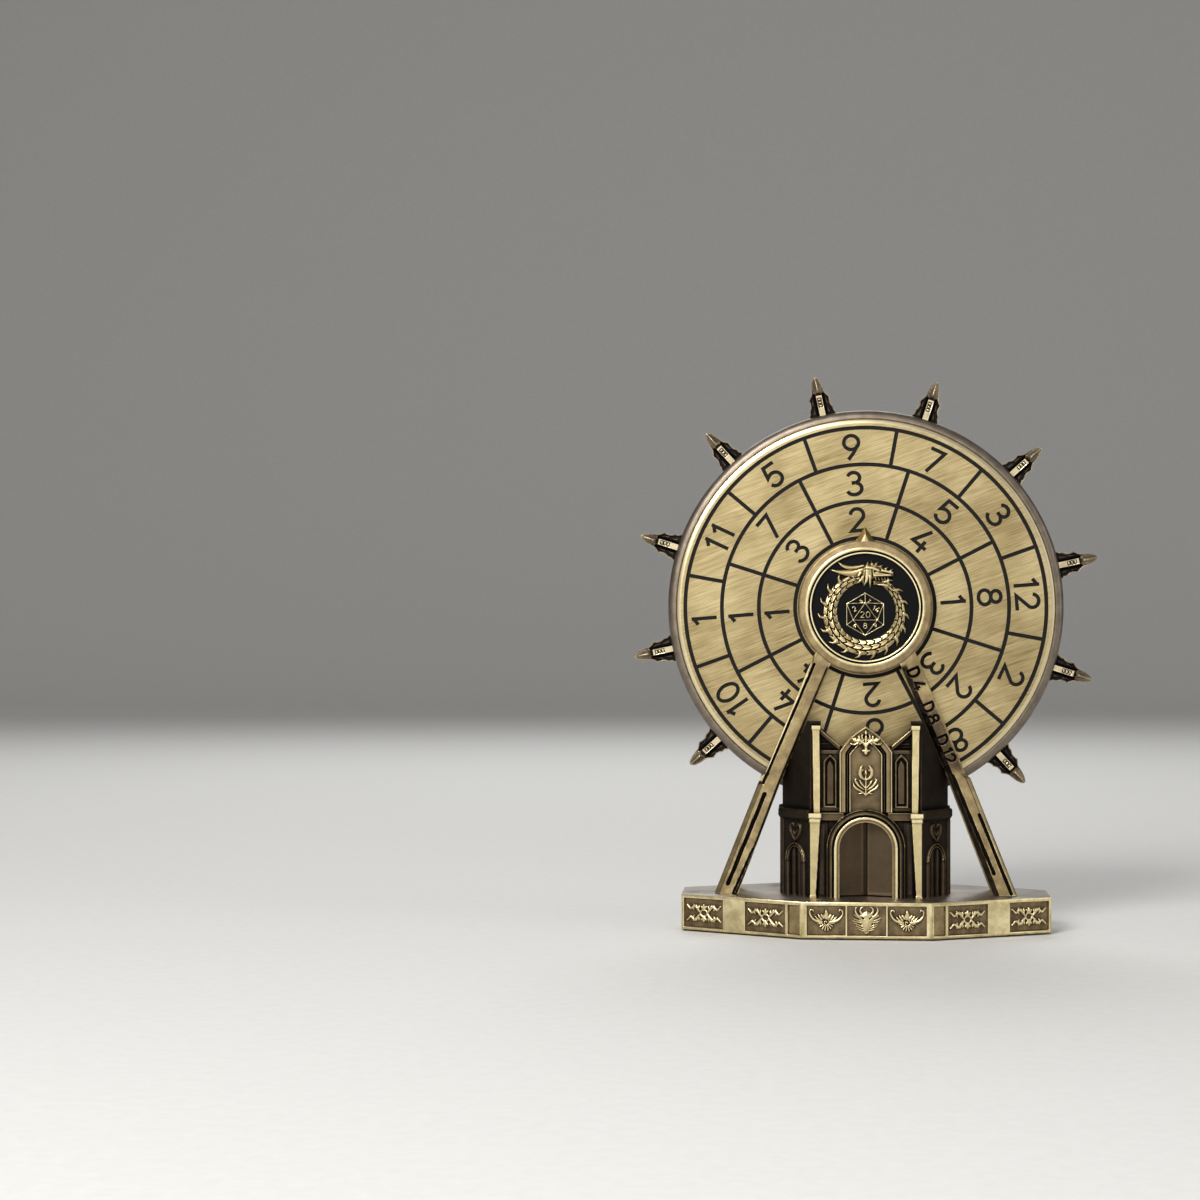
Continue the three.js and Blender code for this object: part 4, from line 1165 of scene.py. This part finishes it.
def serpent_ring(x, z):
    """A scaled serpent that bites its tail around a twenty-sided die, on a black ground."""
    field = Field(x, z, MEDALLION_GROUND, 0.0)
    field.put(10.42 - np.hypot(x, z), 6.95, 1.0, 0.15)
    down = z - RING_MIDDLE
    radius = np.hypot(x, down)
    angle = np.mod(np.arctan2(down, x) - NECK, 2 * math.pi)
    share = angle / (2 * math.pi)
    half = ring_half(share)
    across = (radius - RING_RADIUS) / half
    on_body = smooth((0.90 - share) / 0.01)
    bulge = np.sqrt(np.clip(1 - across**2, 0, 1)) * on_body
    row = (across + 1) * 1.5
    lane = np.clip(np.floor(row), 0, 2)
    q = np.abs(row - lane - 0.5)
    along = angle * RING_RADIUS / 1.75 + 0.5 * lane + 0.8 * q
    p = np.mod(along, 1) - 0.5
    plate = smooth(np.minimum(0.5 - np.abs(p), (0.5 - q) * 0.8) / 0.12)
    field.height += bulge * (0.22 + plate * (0.34 + 0.24 * p))
    field.wear += (0.04 + plate * (0.72 - 0.22 * p) - field.wear) * smooth(bulge * 4)
    spines = []
    for step in np.arange(0.085, 0.88, 0.053):
        turn, half_here = NECK + step * 2 * math.pi, float(ring_half(step))
        length = 1.25 if step < 0.34 else 0.85
        root = RING_RADIUS + half_here - 0.3
        tip = min(root + length + 0.3, 9.35)
        spine = []
        for reach, lag, width in ((root, 0, 0.46), (root + length * 0.65, -0.03, 0.3), (tip, -0.13, 0.04)):
            level = RING_MIDDLE + reach * math.sin(turn + lag)
            spine.append((reach * math.cos(turn + lag), level, width))
        spines.append(spine)
    field.swell(spines, 6.7, 0.74)
    serpent_head(field)
    die_outline(field)
    return field


def serpent_head(field):
    """The head: two swept horns, a ridged brow, an eye, and jaws closed on the tail."""
    x, z = field.x, field.z
    field.swell(curved(
        ((-0.4, 8.15, 0.3), (-1.8, 7.8, 0.42), (-3.2, 7.8, 0.45), (-4.5, 8.2, 0.36), (-5.4, 8.95, 0.05)),
        ((-0.4, 7.45, 0.36), (-1.9, 6.85, 0.62), (-3.6, 6.7, 0.66), (-5.4, 6.95, 0.4), (-7.0, 7.4, 0.05)),
    ), 6.9, 0.84)
    skull = [
        (-0.8, 7.2), (-0.3, 8.15), (0.7, 8.45), (1.5, 8.75), (2.5, 8.3), (3.7, 7.75), (5.1, 7.15),
        (5.7, 6.7), (5.5, 5.9), (4.7, 6.05), (2.9, 5.85), (1.6, 5.6), (1.25, 5.1), (1.0, 3.6),
        (0.5, 4.7), (-0.3, 3.9), (-0.65, 4.8), (-1.9, 4.45), (-1.0, 5.5), (-0.75, 6.3),
    ]
    field.dome(in_polygon(x, z, skull), 0.5, 6.8, 0.72)
    jaw = [
        (1.4, 5.25), (3.2, 5.1), (4.6, 5.2), (4.9, 4.6), (4.4, 3.75), (3.9, 3.55), (3.3, 4.0), (2.3, 4.15),
        (1.5, 4.3),
    ]
    field.dome(in_polygon(x, z, jaw), 0.4, 6.75, 0.72)
    for furrow in (
        ((1.0, 8.1), (4.2, 6.9)), ((1.3, 7.4), (1.4, 5.9)), ((0.1, 7.4), (-0.2, 4.9)),
        ((0.6, 6.6), (0.75, 4.6)), ((2.8, 6.9), (5.2, 6.45)), ((1.9, 4.75), (4.2, 4.65)),
        ((2.2, 8.2), (3.0, 7.2)), ((3.5, 7.7), (4.0, 6.9)),
    ):
        field.put(to_line(x, z, furrow) - 0.08, 6.55, 0.12, 0.12)
    ridges = [
        [(0.2, 7.75, 0.28), (1.3, 7.75, 0.34), (2.5, 7.25, 0.3)],
        [(3.2, 7.2, 0.24), (4.4, 6.95, 0.26), (5.3, 6.75, 0.3)],
        [(0.3, 8.2, 0.3), (0.6, 8.95, 0.06)], [(1.3, 8.5, 0.3), (1.2, 9.1, 0.06)],
        [(2.1, 8.4, 0.3), (2.5, 8.85, 0.06)], [(3.0, 8.0, 0.28), (3.5, 8.3, 0.06)],
        [(4.0, 7.5, 0.26), (4.5, 7.85, 0.06)], [(4.9, 7.1, 0.26), (5.4, 7.5, 0.08)],
        [(0.35, 7.1, 0.4), (0.35, 6.2, 0.46), (0.2, 5.1, 0.3), (-0.25, 4.1, 0.05)],
        [(0.9, 6.0, 0.3), (0.95, 4.6, 0.2), (1.0, 3.7, 0.05)],
        [(-0.5, 5.9, 0.3), (-1.1, 5.1, 0.24), (-1.8, 4.5, 0.05)],
        [(1.8, 6.2, 0.2), (3.2, 6.2, 0.24), (4.9, 6.25, 0.26)],
        [(2.6, 4.4, 0.24), (3.6, 4.4, 0.28), (4.3, 4.2, 0.26)], [(-1.3, 6.2, 0.3), (-0.9, 6.7, 0.3)],
    ]
    field.swell(ridges, 7.02, 0.92)
    field.put(np.hypot((x - 1.95) / 1.5, z - 7.0) - 0.16, 6.5, 0.0, 0.15)
    field.put(np.hypot(x - 2.0, z - 7.0) - 0.09, 6.75, 1.0, 0.1)
    field.put(to_line(x, z, [(1.5, 5.42), (2.8, 5.6), (5.2, 5.65)]) - 0.12, 6.3, 0.0, 0.2)
    for tooth in (2.0, 2.6, 3.2, 3.8, 4.4):
        field.put(to_line(x, z, [(tooth, 5.75), (tooth + 0.1, 5.3)]) - 0.09, 6.7, 0.9, 0.1)


# The numbers on the die: text, size, place and turn in degrees.
DIE_NUMBERS = (
    ("20", 1.3, 0, -0.05, 0), ("8", 1.15, 0, -2.25, 0),
    ("2", 1.1, -2.1, 1.05, 28), ("14", 1.1, 2.1, 1.05, -28),
    ("6", 0.8, -2.0, -2.2, -30), ("9", 0.8, 2.0, -2.2, 30),
    ("5", 0.7, -0.75, 2.6, 40), ("7", 0.7, 0.75, 2.6, -40),
)


def die_outline(field):
    """The outline of a twenty-sided die, with its numbers."""
    x, z = field.x, field.z
    hexagon = arc(0, DIE_MIDDLE, 4.15, 4.15, 90, 450, 7)[:-1]
    triangle = [(px, pz + DIE_MIDDLE) for px, pz in ((0, 2.25), (-2.35, -1.12), (2.35, -1.12))]
    for k in range(6):
        field.put(to_line(x, z, [hexagon[k], hexagon[(k + 1) % 6]]) - 0.10, 6.55, 0.95, 0.11)
    for k in range(3):
        spokes = [hexagon[(2 * k + step) % 6] for step in (-1, 0, 1)]
        for end in (triangle[(k + 1) % 3], *spokes):
            field.put(to_line(x, z, [triangle[k], end]) - 0.10, 6.55, 0.95, 0.11)
    for text, size, cx, cz, turn in DIE_NUMBERS:
        for stroke in moved(lettering(text, size, 0.7), cx, cz + DIE_MIDDLE, turn):
            field.put(stroke_distance(x, z, stroke, 0.1) - 0.10, 6.52, 0.95, 0.11)


def make_medallion(name):
    x, z = grid((-MEDALLION, -MEDALLION), (MEDALLION, MEDALLION), 0.075)
    made = block(name, np.stack([x, -serpent_ring(x, z).height, z], -1), MEDALLION_BACK)
    combine(made, prism("cut", arc(0, 0, MEDALLION, MEDALLION, 0, 360, 193)[:-1], 9, 5), "INTERSECT")
    return dress(made, MEDALLION_FINISH, wear_of(serpent_ring), angle=60)


# ------------------------------------------------------------------ gatehouse

FACE_AT = 11.4  # how far in front of the mid-plane the facade stands
STOREY = 15  # top of the lower storey
CORNICE = 16.9  # top of the cornice
SPRING = 9.5  # where the gate's round arch springs
GATE_HALF = 5.12
TOWER = 34.2
WALL = 1.3


def gothic(x, z, half, foot, shoulder, apex):
    """Signed distance to a panel with a pointed head."""
    head = [(half * across, shoulder + (apex - shoulder) * up)
            for across, up in ((1, 0), (0.83, 0.26), (0.59, 0.55), (0.3, 0.8), (0, 1))]
    return in_polygon(np.abs(x), z, [(-half, foot), (half, foot), *head, (-half, apex)])


def pointed(x, z, half, spring, lean=0.3):
    """Signed distance to a tall opening whose head is an almost round pointed arch."""
    side = np.abs(x)
    return np.where(z > spring, np.hypot(side + lean, z - spring) - lean - half, side - half)


def facade_shape(x, z):
    """The front of a gatehouse half. Levels are heights above the facade's plane."""
    side = np.abs(x)
    field = Field(x, z, FACE_AT - 0.4, 0.22)

    def put(distance, level, wear, edge=0.16):
        field.put(distance, FACE_AT + level, wear, edge)

    # upper storey: moulded windows, louvres and leaning roofs beside the gable
    put(in_box(side, z, (5.0, 17.6), (8.8, 28.7)), -0.35, 0.30)
    window = gothic(side - 6.88, z, 1.3, 17.35, 26.3, 27.7)
    put(window, 0.02, 0.46)
    put(np.abs(window + 0.1) - 0.08, 0.12, 0.58, 0.12)
    put(window + 0.42, -0.45, 0.02)
    pane = gothic(side - 6.88, z, 0.64, 18.1, 25.4, 26.6)
    put(pane, -0.1, 0.37)
    put(in_box(side, z, (5.0, 27.75), (8.8, 28.55)), -0.15, 0.36)
    put(in_polygon(side, z, [(5.1, 28.6), (8.8, 28.6), (8.8, 32.0)]), -0.75, 0.04)
    for low in (28.95, 29.6, 30.25, 30.9):
        put(in_box(side, z, (5.1 + (low - 28.9) * 1.25, low), (8.75, low + 0.28)), -0.5, 0.26, 0.22)
    roof = to_line(side, z, [(9.2, 32.55), (4.9, 28.85)])
    put(roof - 0.42, 0.05, 0.34)
    put(to_line(side, z, [(9.2, 32.85), (4.9, 29.15)]) - 0.12, 0.2, 0.72, 0.14)
    put(in_box(side, z, (4.9, 16.65), (8.8, 17.45)), -0.1, 0.34)
    # string course and cornice
    put(in_box(side, z, (4.2, 14.9), (9.0, 16.45)), 0.3, 0.40)
    put(in_box(side, z, (4.2, 16.25), (9.0, 16.5)), 0.45, 0.62, 0.14)
    # gable
    gable = gothic(x, z, 5.06, -5.0, 28.3, 33.15)
    above = 16.5 - z

    def band(distance, level, wear, edge=0.16):
        put(np.maximum(distance, above), level, wear, edge)

    band(gable, 0.45, 0.62)
    band(np.abs(gable + 0.14) - 0.13, 0.75, 0.97, 0.14)
    band(gable + 1.16, 0.05, 0.03)
    band(np.abs(gable + 1.52) - 0.12, 0.28, 0.26, 0.14)
    band(gable + 1.86, 0.45, 0.88, 0.14)
    band(gable + 2.12, 0.15, 0.44)
    field.wear += 0.09 * smooth((z - 19) / 8) * smooth(-(gable + 2.12) / 0.2)
    # lower storey
    put(in_box(side, z, (7.2, -0.5), (9.3, 14.7)), -0.15, 0.16)
    put(in_box(side, z, (7.9, 0.5), (9.0, 14.2)), -0.05, 0.24)
    arch = in_arch(x, z, 7.62, SPRING)
    put(arch, 0.25, 0.42)
    put(np.abs(arch + 0.13) - 0.1, 0.5, 0.62, 0.14)
    put(np.abs(arch + 0.38) - 0.06, 0.1, 0.08, 0.13)
    put(np.abs(arch + 0.92) - 0.22, 0.5, 0.44, 0.16)
    put(arch + 1.22, 0.05, 0.05)
    put(arch + 1.46, 0.6, 0.97, 0.14)
    put(arch + 2.02, 0.35, 0.60, 0.2)
    # pillars
    upper = in_polygon(side, z, [(8.77, 15.0), (10.1, 15.0), (10.38, 33.3), (8.88, 33.3)])
    put(upper, 0.5, 0.87)
    put(in_box(side, z, (8.72, 32.5), (10.5, 33.4)), 0.6, 0.95)
    put(in_box(side, z, (8.4, 33.45), (12.0, 36.0)), 0.3, 0.10)
    lower = in_polygon(side, z, [(9.66, -0.5), (10.78, -0.5), (10.85, 14.7), (8.8, 14.7)])
    put(lower, 0.55, 0.86)
    put(in_box(side, z, (9.5, -0.5), (11.2, 0.42)), 0.6, 0.8)
    put(in_box(side, z, (8.72, 14.5), (11.0, 15.4)), 0.7, 0.97, 0.3)
    put(in_box(side, z, (8.55, 15.35), (11.15, 16.4)), 0.95, 1.0, 0.2)
    ornaments(field)
    return field


def ornaments(field):
    """A cross of leaves hanging from the gable's apex, and a budding plant on its panel."""
    cross = curved(
        ((0.0, 29.4, 0.36), (0.6, 30.15, 0.34), (1.2, 30.5, 0.44), (1.9, 30.4, 0.42), (2.45, 30.75, 0.22),
         (2.7, 30.7, 0.05)),
        ((1.4, 30.1, 0.26), (2.1, 29.75, 0.26), (2.8, 29.8, 0.2), (3.15, 30.15, 0.05)),
        ((0.45, 30.6, 0.2), (0.75, 31.0, 0.26), (0.7, 31.5, 0.22), (0.45, 31.75, 0.05)),
    ) + [
        [(1.2, 30.6, 0.36), (1.35, 31.2, 0.28), (1.15, 31.65, 0.06)],
        [(1.8, 30.5, 0.3), (2.1, 31.05, 0.16), (2.3, 31.15, 0.05)],
        [(0.3, 28.45, 0.36), (0.7, 28.55, 0.26), (0.92, 28.75, 0.06)],
        [(0.85, 30.1, 0.28), (1.15, 29.75, 0.2), (1.2, 29.4, 0.06)],
    ]
    stem = upright(
        (32.55, 0.1), (32.0, 0.34), (31.5, 0.2), (31.0, 0.38), (30.4, 0.3), (29.6, 0.36), (29.0, 0.38),
        (28.5, 0.56), (28.0, 0.42), (27.5, 0.05),
    )
    plant = curved(
        ((0.05, 22.9, 0.18), (0.6, 23.1, 0.28), (1.05, 23.7, 0.4), (1.12, 24.5, 0.4), (0.88, 25.25, 0.26),
         (0.6, 25.65, 0.06)),
        ((0.05, 21.2, 0.14), (0.55, 21.75, 0.2), (0.95, 22.3, 0.24), (1.25, 22.95, 0.06)),
        ((0.7, 21.1, 0.16), (1.3, 21.6, 0.26), (1.75, 22.2, 0.28), (2.05, 22.75, 0.2), (1.85, 23.05, 0.14),
         (1.65, 22.85, 0.07)),
        ((0.05, 19.85, 0.14), (0.5, 20.35, 0.2), (1.0, 20.7, 0.26), (1.7, 21.1, 0.28), (2.2, 21.6, 0.26),
         (2.42, 22.2, 0.06)),
    ) + [
        [(1.0, 24.9, 0.26), (0.62, 24.65, 0.2), (0.42, 24.95, 0.05)], [(1.2, 24.0, 0.2), (1.5, 23.75, 0.05)],
        [(1.15, 24.7, 0.2), (1.5, 24.5, 0.05)], [(0.3, 20.9, 0.12), (0.7, 21.2, 0.18), (1.05, 21.7, 0.05)],
        [(0.5, 20.3, 0.18), (1.1, 20.2, 0.18), (1.6, 20.35, 0.05)], [(1.8, 21.2, 0.18), (2.3, 21.05, 0.05)],
    ]
    shoot = upright((19.55, 0.1), (20.0, 0.2), (23.4, 0.17))
    bud = upright((23.55, 0.12), (24.2, 0.38), (24.95, 0.05))
    field.swell([stem, *mirrored(cross)], FACE_AT + 0.95, 1.0)
    field.swell([shoot, bud, *mirrored(plant)], FACE_AT + 0.55, 0.88)


def facade_outline():
    """What of the facade's block stands: pillars, leaning roofs and the gable."""
    half = [
        (10.8, -0.05), (10.8, 14.3), (11.05, 14.5), (11.15, 16.4), (10.75, 16.6), (10.75, TOWER),
        (8.65, TOWER), (8.7, 32.9), (5.06, 29.4), (5.06, 28.3), (4.2, 29.56), (2.99, 30.97), (1.52, 32.18),
    ]
    return [*half, (0, 33.15), *((-x, z) for x, z in reversed(half))]


def gate_outline():
    return [(-GATE_HALF, -2), (GATE_HALF, -2), *arc(0, SPRING, GATE_HALF, GATE_HALF, 0, 180, 49)]


def make_facade(name):
    x, z = grid((-11.5, -0.1), (11.5, TOWER + 0.1), 0.1)
    made = block(name, np.stack([x, -facade_shape(x, z).height, z], -1), FACE_AT - WALL)
    combine(made, prism("cut", facade_outline(), 20, 5), "INTERSECT")
    combine(made, prism("cut", gate_outline(), 20, 5), "DIFFERENCE")
    return dress(made, BRONZE, wear_of(facade_shape), angle=60)


FLANK = 9.5  # length of a flank
FLANK_MIDDLE = 4.5
DECK_FOOT = FOOT + 26
DECK_TOP = FOOT + 27.1
BOARD = 1.9  # width of a board of the terrace


def flank_shape(x, z):
    """A slanting flank of the gatehouse. x runs along it from the front corner."""
    along = np.abs(x)
    field = Field(along, z, 0, 0.20)
    put = field.put
    put(STOREY - z, 0.65, 0.24, 0.3)
    put(CORNICE - z, -0.4, 0.14, 0.3)
    put(np.abs(z - 15.15) - 0.15, 0.42, 0.26, 0.2)
    put(np.abs(z - 16.7) - 0.14, 0.55, 0.22, 0.2)
    put(np.maximum(8.55 - along, z - 14.9), 0.2, 0.32)
    arch = pointed(along - FLANK_MIDDLE, z, 3.05, 7.0)
    put(arch, 0.40, 0.56)
    put(arch + 0.28, 0.05, 0.06)
    put(arch + 0.5, 0.36, 0.52)
    put(arch + 0.8, -0.3, 0.06)

    def upright_bar(middle, half, low, high):
        return in_box(along, z, (middle - half, low), (middle + half, high))

    for column in (FLANK_MIDDLE - 0.95, FLANK_MIDDLE + 0.95):
        put(np.maximum(upright_bar(column, 0.42, -1.0, 12.0), arch + 0.85), 0.05, 0.32, 0.3)
    for column in (FLANK_MIDDLE - 2.6, FLANK_MIDDLE + 2.6):
        put(upright_bar(column, 0.45, -1.0, 6.7), 0.4, 0.36, 0.3)
        put(upright_bar(column, 0.05, -1.0, 6.5), 0.25, 0.10, 0.2)
        put(upright_bar(column, 0.5, 6.55, 6.85), 0.45, 0.2, 0.16)
    curls = mirrored(curved(
        ((0.0, 10.7, 0.2), (0.75, 11.5, 0.34), (1.5, 12.5, 0.38), (1.55, 13.5, 0.34), (0.9, 14.0, 0.26),
         (0.5, 13.5, 0.1)),
        ((0.0, 11.7, 0.14), (0.5, 12.3, 0.24), (0.8, 12.9, 0.06)),
    ))
    leaves = [[(FLANK_MIDDLE + px, pz, half) for px, pz, half in line] for line in curls]
    field.swell(leaves, 0.45, 0.36)
    return field


def make_flank(name, side):
    low, high = (0.0, FLANK) if side > 0 else (-FLANK, 0.0)
    x, z = grid((low, 0), (high, TOWER), 0.12)
    made = block(name, np.stack([x, -flank_shape(x, z).height, z], -1), -WALL)
    outline = [(-0.4, -0.5), (FLANK + 0.3, -0.5), (FLANK + 0.3, 21.6), (FLANK, 22.6), (1.37, TOWER)]
    outline = [(side * px, pz) for px, pz in (*outline, (-0.4, TOWER))]
    combine(made, prism("cut", outline, 3, -3), "INTERSECT")
    return dress(made, BRONZE, wear_of(flank_shape), angle=60)


def plane_matrix(along, origin):
    """An upright plane's frame, from a level direction along it and a point of it."""
    inward = Vector((-along.y, along.x, 0))
    matrix = Matrix((along, inward, Vector((0, 0, 1)))).transposed().to_4x4()
    matrix.translation = origin
    return matrix


def flank_matrix(side):
    """The flank's plane: its x runs from the front corner on the right, and to it on the left."""
    return plane_matrix(Vector((0.6, side * 0.8, 0)), (side * 10.8, -FACE_AT, FOOT))


def leaf_matrix(side):
    """A leaf's plane, from its hinge. The leaves stand a little open."""
    return plane_matrix(Vector((5.45, 1.7 * -side, 0)).normalized(), (side * 5.85, -9.8, TOP + 0.3))


def make_deck(name):
    """The floor of the terrace, with its boards."""
    points = [(-9.4, -9.8), (9.4, -9.8), (11.6, -6.5), (11.2, -3.9), (-11.2, -3.9), (-11.6, -6.5)]
    made = slab(name, points, DECK_FOOT, DECK_TOP)
    for k in range(-5, 6):
        left, right = k * BOARD - 0.08, k * BOARD + 0.08
        seam = [(left, -12), (right, -12), (right, 0), (left, 0)]
        combine(made, slab("cut", seam, DECK_TOP - 0.15, DECK_TOP + 0.9), "DIFFERENCE")
    return dress(soften(made, 0.05, 2), BRONZE, 0.2)


def make_leaf(name, side):
    """A leaf of the gate, ajar, with a raised border on its front."""
    def shape(x, z):
        field = Field(x, z, 0.0, 0.34)
        field.put(in_box(x, z, (0.28, 0.4), (5.4, 20)), -0.05, 0.37, 0.12)
        return field

    made = relief(name, (0, 0), (5.7, 14.0), 0.14, shape, -0.55)
    if side < 0:  # a strip behind one leaf covers the seam where the two meet
        strip = slab("strip", [(5.1, 0.45), (6.85, 0.45), (6.85, 0.85), (5.1, 0.85)], 0.05, 13.9)
        combine(made, strip, "UNION")
    if side > 0:
        made.data.transform(Matrix.Scale(-1, 4, (1, 0, 0)))
        made.data.flip_normals()
    return dress(made, SATIN_BROWN, lambda x, y, z: np.full(len(x), 0.36), angle=60)


# ------------------------------------------------------------------ assembly


def build_stand():
    """The base with its frieze, and two copies of everything on it, the rear one turned half round."""
    place(make_base("base_body"), "stand", "antique_brass", ["base_casting"])
    panels = {}
    for i, (matrix, _, kind) in enumerate(facet_places()):
        if kind not in panels:
            panels[kind] = make_panel(kind)
            panels[kind].hide_render = True
        made = twin(panels[kind], f"frieze_{i + 1:02d}_{kind}")
        spot = matrix.copy()
        out = matrix.to_3x3() @ Vector((0, -1, 0))
        spot.translation = spot.translation - out * PANEL_DEPTH + Vector((0, 0, PANEL_MIDDLE))
        place(made, "stand", "antique_brass", matrix=spot)
    for made in panels.values():
        bpy.data.objects.remove(made)
    here = Matrix.Identity(4)
    at_foot = Matrix.Translation((0, 0, FOOT))
    at_hub = Matrix.Translation((0, 0, HUB))
    pieces = [
        (make_leg("leg_left", left_leg, -1), "antique_brass", "frame_{}", here),
        (make_leg("leg_right", right_leg, 1), "antique_brass", "frame_{}", here),
        (make_ring("hub_ring"), "antique_brass", "frame_{}", here),
        (make_pointer("pointer"), "antique_brass", "frame_{}", here),
        (make_facade("facade"), "dark_bronze", "castle_{}", at_foot),
        (make_flank("flank_left", -1), "dark_bronze", "castle_{}", flank_matrix(-1)),
        (make_flank("flank_right", 1), "dark_bronze", "castle_{}", flank_matrix(1)),
        (make_deck("deck"), "dark_bronze", "castle_{}", here),
        (make_medallion("medallion_relief"), "black_enamel", "medallion_{}", at_hub),
        (make_leaf("leaf_left", -1), "dark_bronze", "gate_leaf_{}_left", leaf_matrix(-1)),
        (make_leaf("leaf_right", 1), "dark_bronze", "gate_leaf_{}_right", leaf_matrix(1)),
    ]
    for end, turn in (("front", here), ("rear", HALF_TURN)):
        for made, slot, node, spot in pieces:
            copy = twin(made, f"{made.name}_{end}")
            place(copy, "stand", slot, [node.format(end)], turn @ spot)
    for made, *_ in pieces:
        bpy.data.objects.remove(made)


SPIKES = 12
FIRST_SPIKE = 82.5  # degrees from the wheel's top


def build_wheel():
    """The dials, the rim and the spikes, turned to where the wheel rests."""
    at_rest = Matrix.Translation((0, 0, HUB)) @ Matrix.Rotation(math.radians(-REST_TURN), 4, "Y")
    face = make_dial("dial_face_front")
    rear = twin(face, "dial_face_rear")
    place(face, "wheel", "brushed_brass", ["dial_front"], at_rest)
    place(rear, "wheel", "brushed_brass", ["dial_rear"], at_rest @ HALF_TURN)
    place(make_rim("wheel_rim"), "wheel", "dark_bronze", ["wheel_body"], at_rest)
    first = make_finial("spike")
    for i in range(SPIKES):
        made = new_object(f"spike_{i + 1:02d}", first.data.copy())
        turn = at_rest @ Matrix.Rotation(math.radians(FIRST_SPIKE - 360 / SPIKES * i), 4, "Y")
        turn.translation *= MM
        made.data.transform(turn)
        place(made, "wheel", "antique_brass", [f"finial_{i + 1:02d}"])
    bpy.data.objects.remove(first)


def dress_cad():
    """Gives the CAD nodes that stay in view their materials."""
    for name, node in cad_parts.items():
        if node.hide_render:
            continue
        material = FELT if name == "base_pad" else STEEL
        node.data.materials.clear()
        node.data.materials.append(material)


# ------------------------------------------------------------------ room


def build_room():
    """A pale floor that curves up into a pale wall."""
    curve = [(-4.0, 0.0), (1.2, 0.0)]
    curve += [(1.2 + 0.8 * math.sin(t), 0.8 - 0.8 * math.cos(t)) for t in np.linspace(0.1, math.pi / 2, 12)]
    curve += [(2.0, 5.0)]
    points = [(x, y, z) for x in (-6, 6) for y, z in curve]
    count = len(curve)
    mesh = bpy.data.meshes.new("floor")
    mesh.from_pydata(points, [], [[i, i + 1, count + i + 1, count + i] for i in range(count - 1)])
    mesh.shade_smooth()
    floor = new_object("floor", mesh)
    g = Graph("floor_paper")
    specks = g.noise(0.4, 4.0, 0.6)
    tone = g.mottle(specks, (0.70, 0.70, 0.69), (0.74, 0.74, 0.73))
    grain = g.bump(specks, 0.05, 0.05)
    mesh.materials.append(g.finish(tone, g.vary(specks, 0.75, 0.85), grain, metallic=0.0))


def area_light(name, place_at, target, size, power, colour):
    data = bpy.data.lights.new(name, "AREA")
    data.shape = "RECTANGLE"
    data.size, data.size_y = size
    data.energy = power
    data.color = colour
    light = bpy.data.objects.new(name, data)
    bpy.context.scene.collection.objects.link(light)
    light.location = place_at
    light.rotation_euler = (Vector(target) - Vector(place_at)).to_track_quat("-Z", "Y").to_euler()


def build_light():
    """A soft world, a small key light, and wider lights in front, beside and behind."""
    world = bpy.data.worlds.new("studio")
    bpy.context.scene.world = world
    world.use_nodes = True
    tree = world.node_tree
    coordinate = tree.nodes.new("ShaderNodeTexCoord")
    split = tree.nodes.new("ShaderNodeSeparateXYZ")
    tree.links.new(coordinate.outputs["Generated"], split.inputs[0])
    ramp = tree.nodes.new("ShaderNodeValToRGB")
    span = tree.nodes.new("ShaderNodeMapRange")
    span.inputs["From Min"].default_value = -1
    tree.links.new(split.outputs["Z"], span.inputs["Value"])
    tree.links.new(span.outputs[0], ramp.inputs["Fac"])
    stops = ramp.color_ramp.elements
    stops[0].position, stops[0].color = 0.35, (0.28, 0.27, 0.26, 1)
    stops[1].position, stops[1].color = 0.95, (1.0, 0.99, 0.97, 1)
    background = tree.nodes["Background"]
    tree.links.new(ramp.outputs[0], background.inputs["Color"])
    background.inputs["Strength"].default_value = 0.34
    target = (0, 0, 0.05)
    area_light("key", (-0.30, -0.62, 0.46), target, (0.3, 0.3), 5.2, (1.0, 0.98, 0.95))
    area_light("front", (0.05, -0.95, 0.10), target, (0.9, 0.7), 1.9, (1.0, 0.99, 0.97))
    area_light("side", (0.60, -0.25, 0.25), target, (0.3, 0.5), 0.7, (1.0, 0.98, 0.95))
    area_light("back", (-0.1, 0.6, 0.55), target, (0.6, 0.4), 2.4, (1.0, 1.0, 1.0))


def build_camera():
    data = bpy.data.cameras.new("camera")
    data.sensor_width = 36
    data.lens = 76.2
    data.clip_start, data.clip_end = 0.01, 20
    camera = bpy.data.objects.new("camera", data)
    bpy.context.scene.collection.objects.link(camera)
    camera.location = (-0.010, -0.5062, 0.06257)
    camera.rotation_euler = (math.radians(90.291), 0, math.radians(4.814))
    bpy.context.scene.camera = camera


build_camera()
build_light()
build_room()
build_stand()
build_wheel()
dress_cad()

bpy.context.scene.view_settings.view_transform = "Standard"
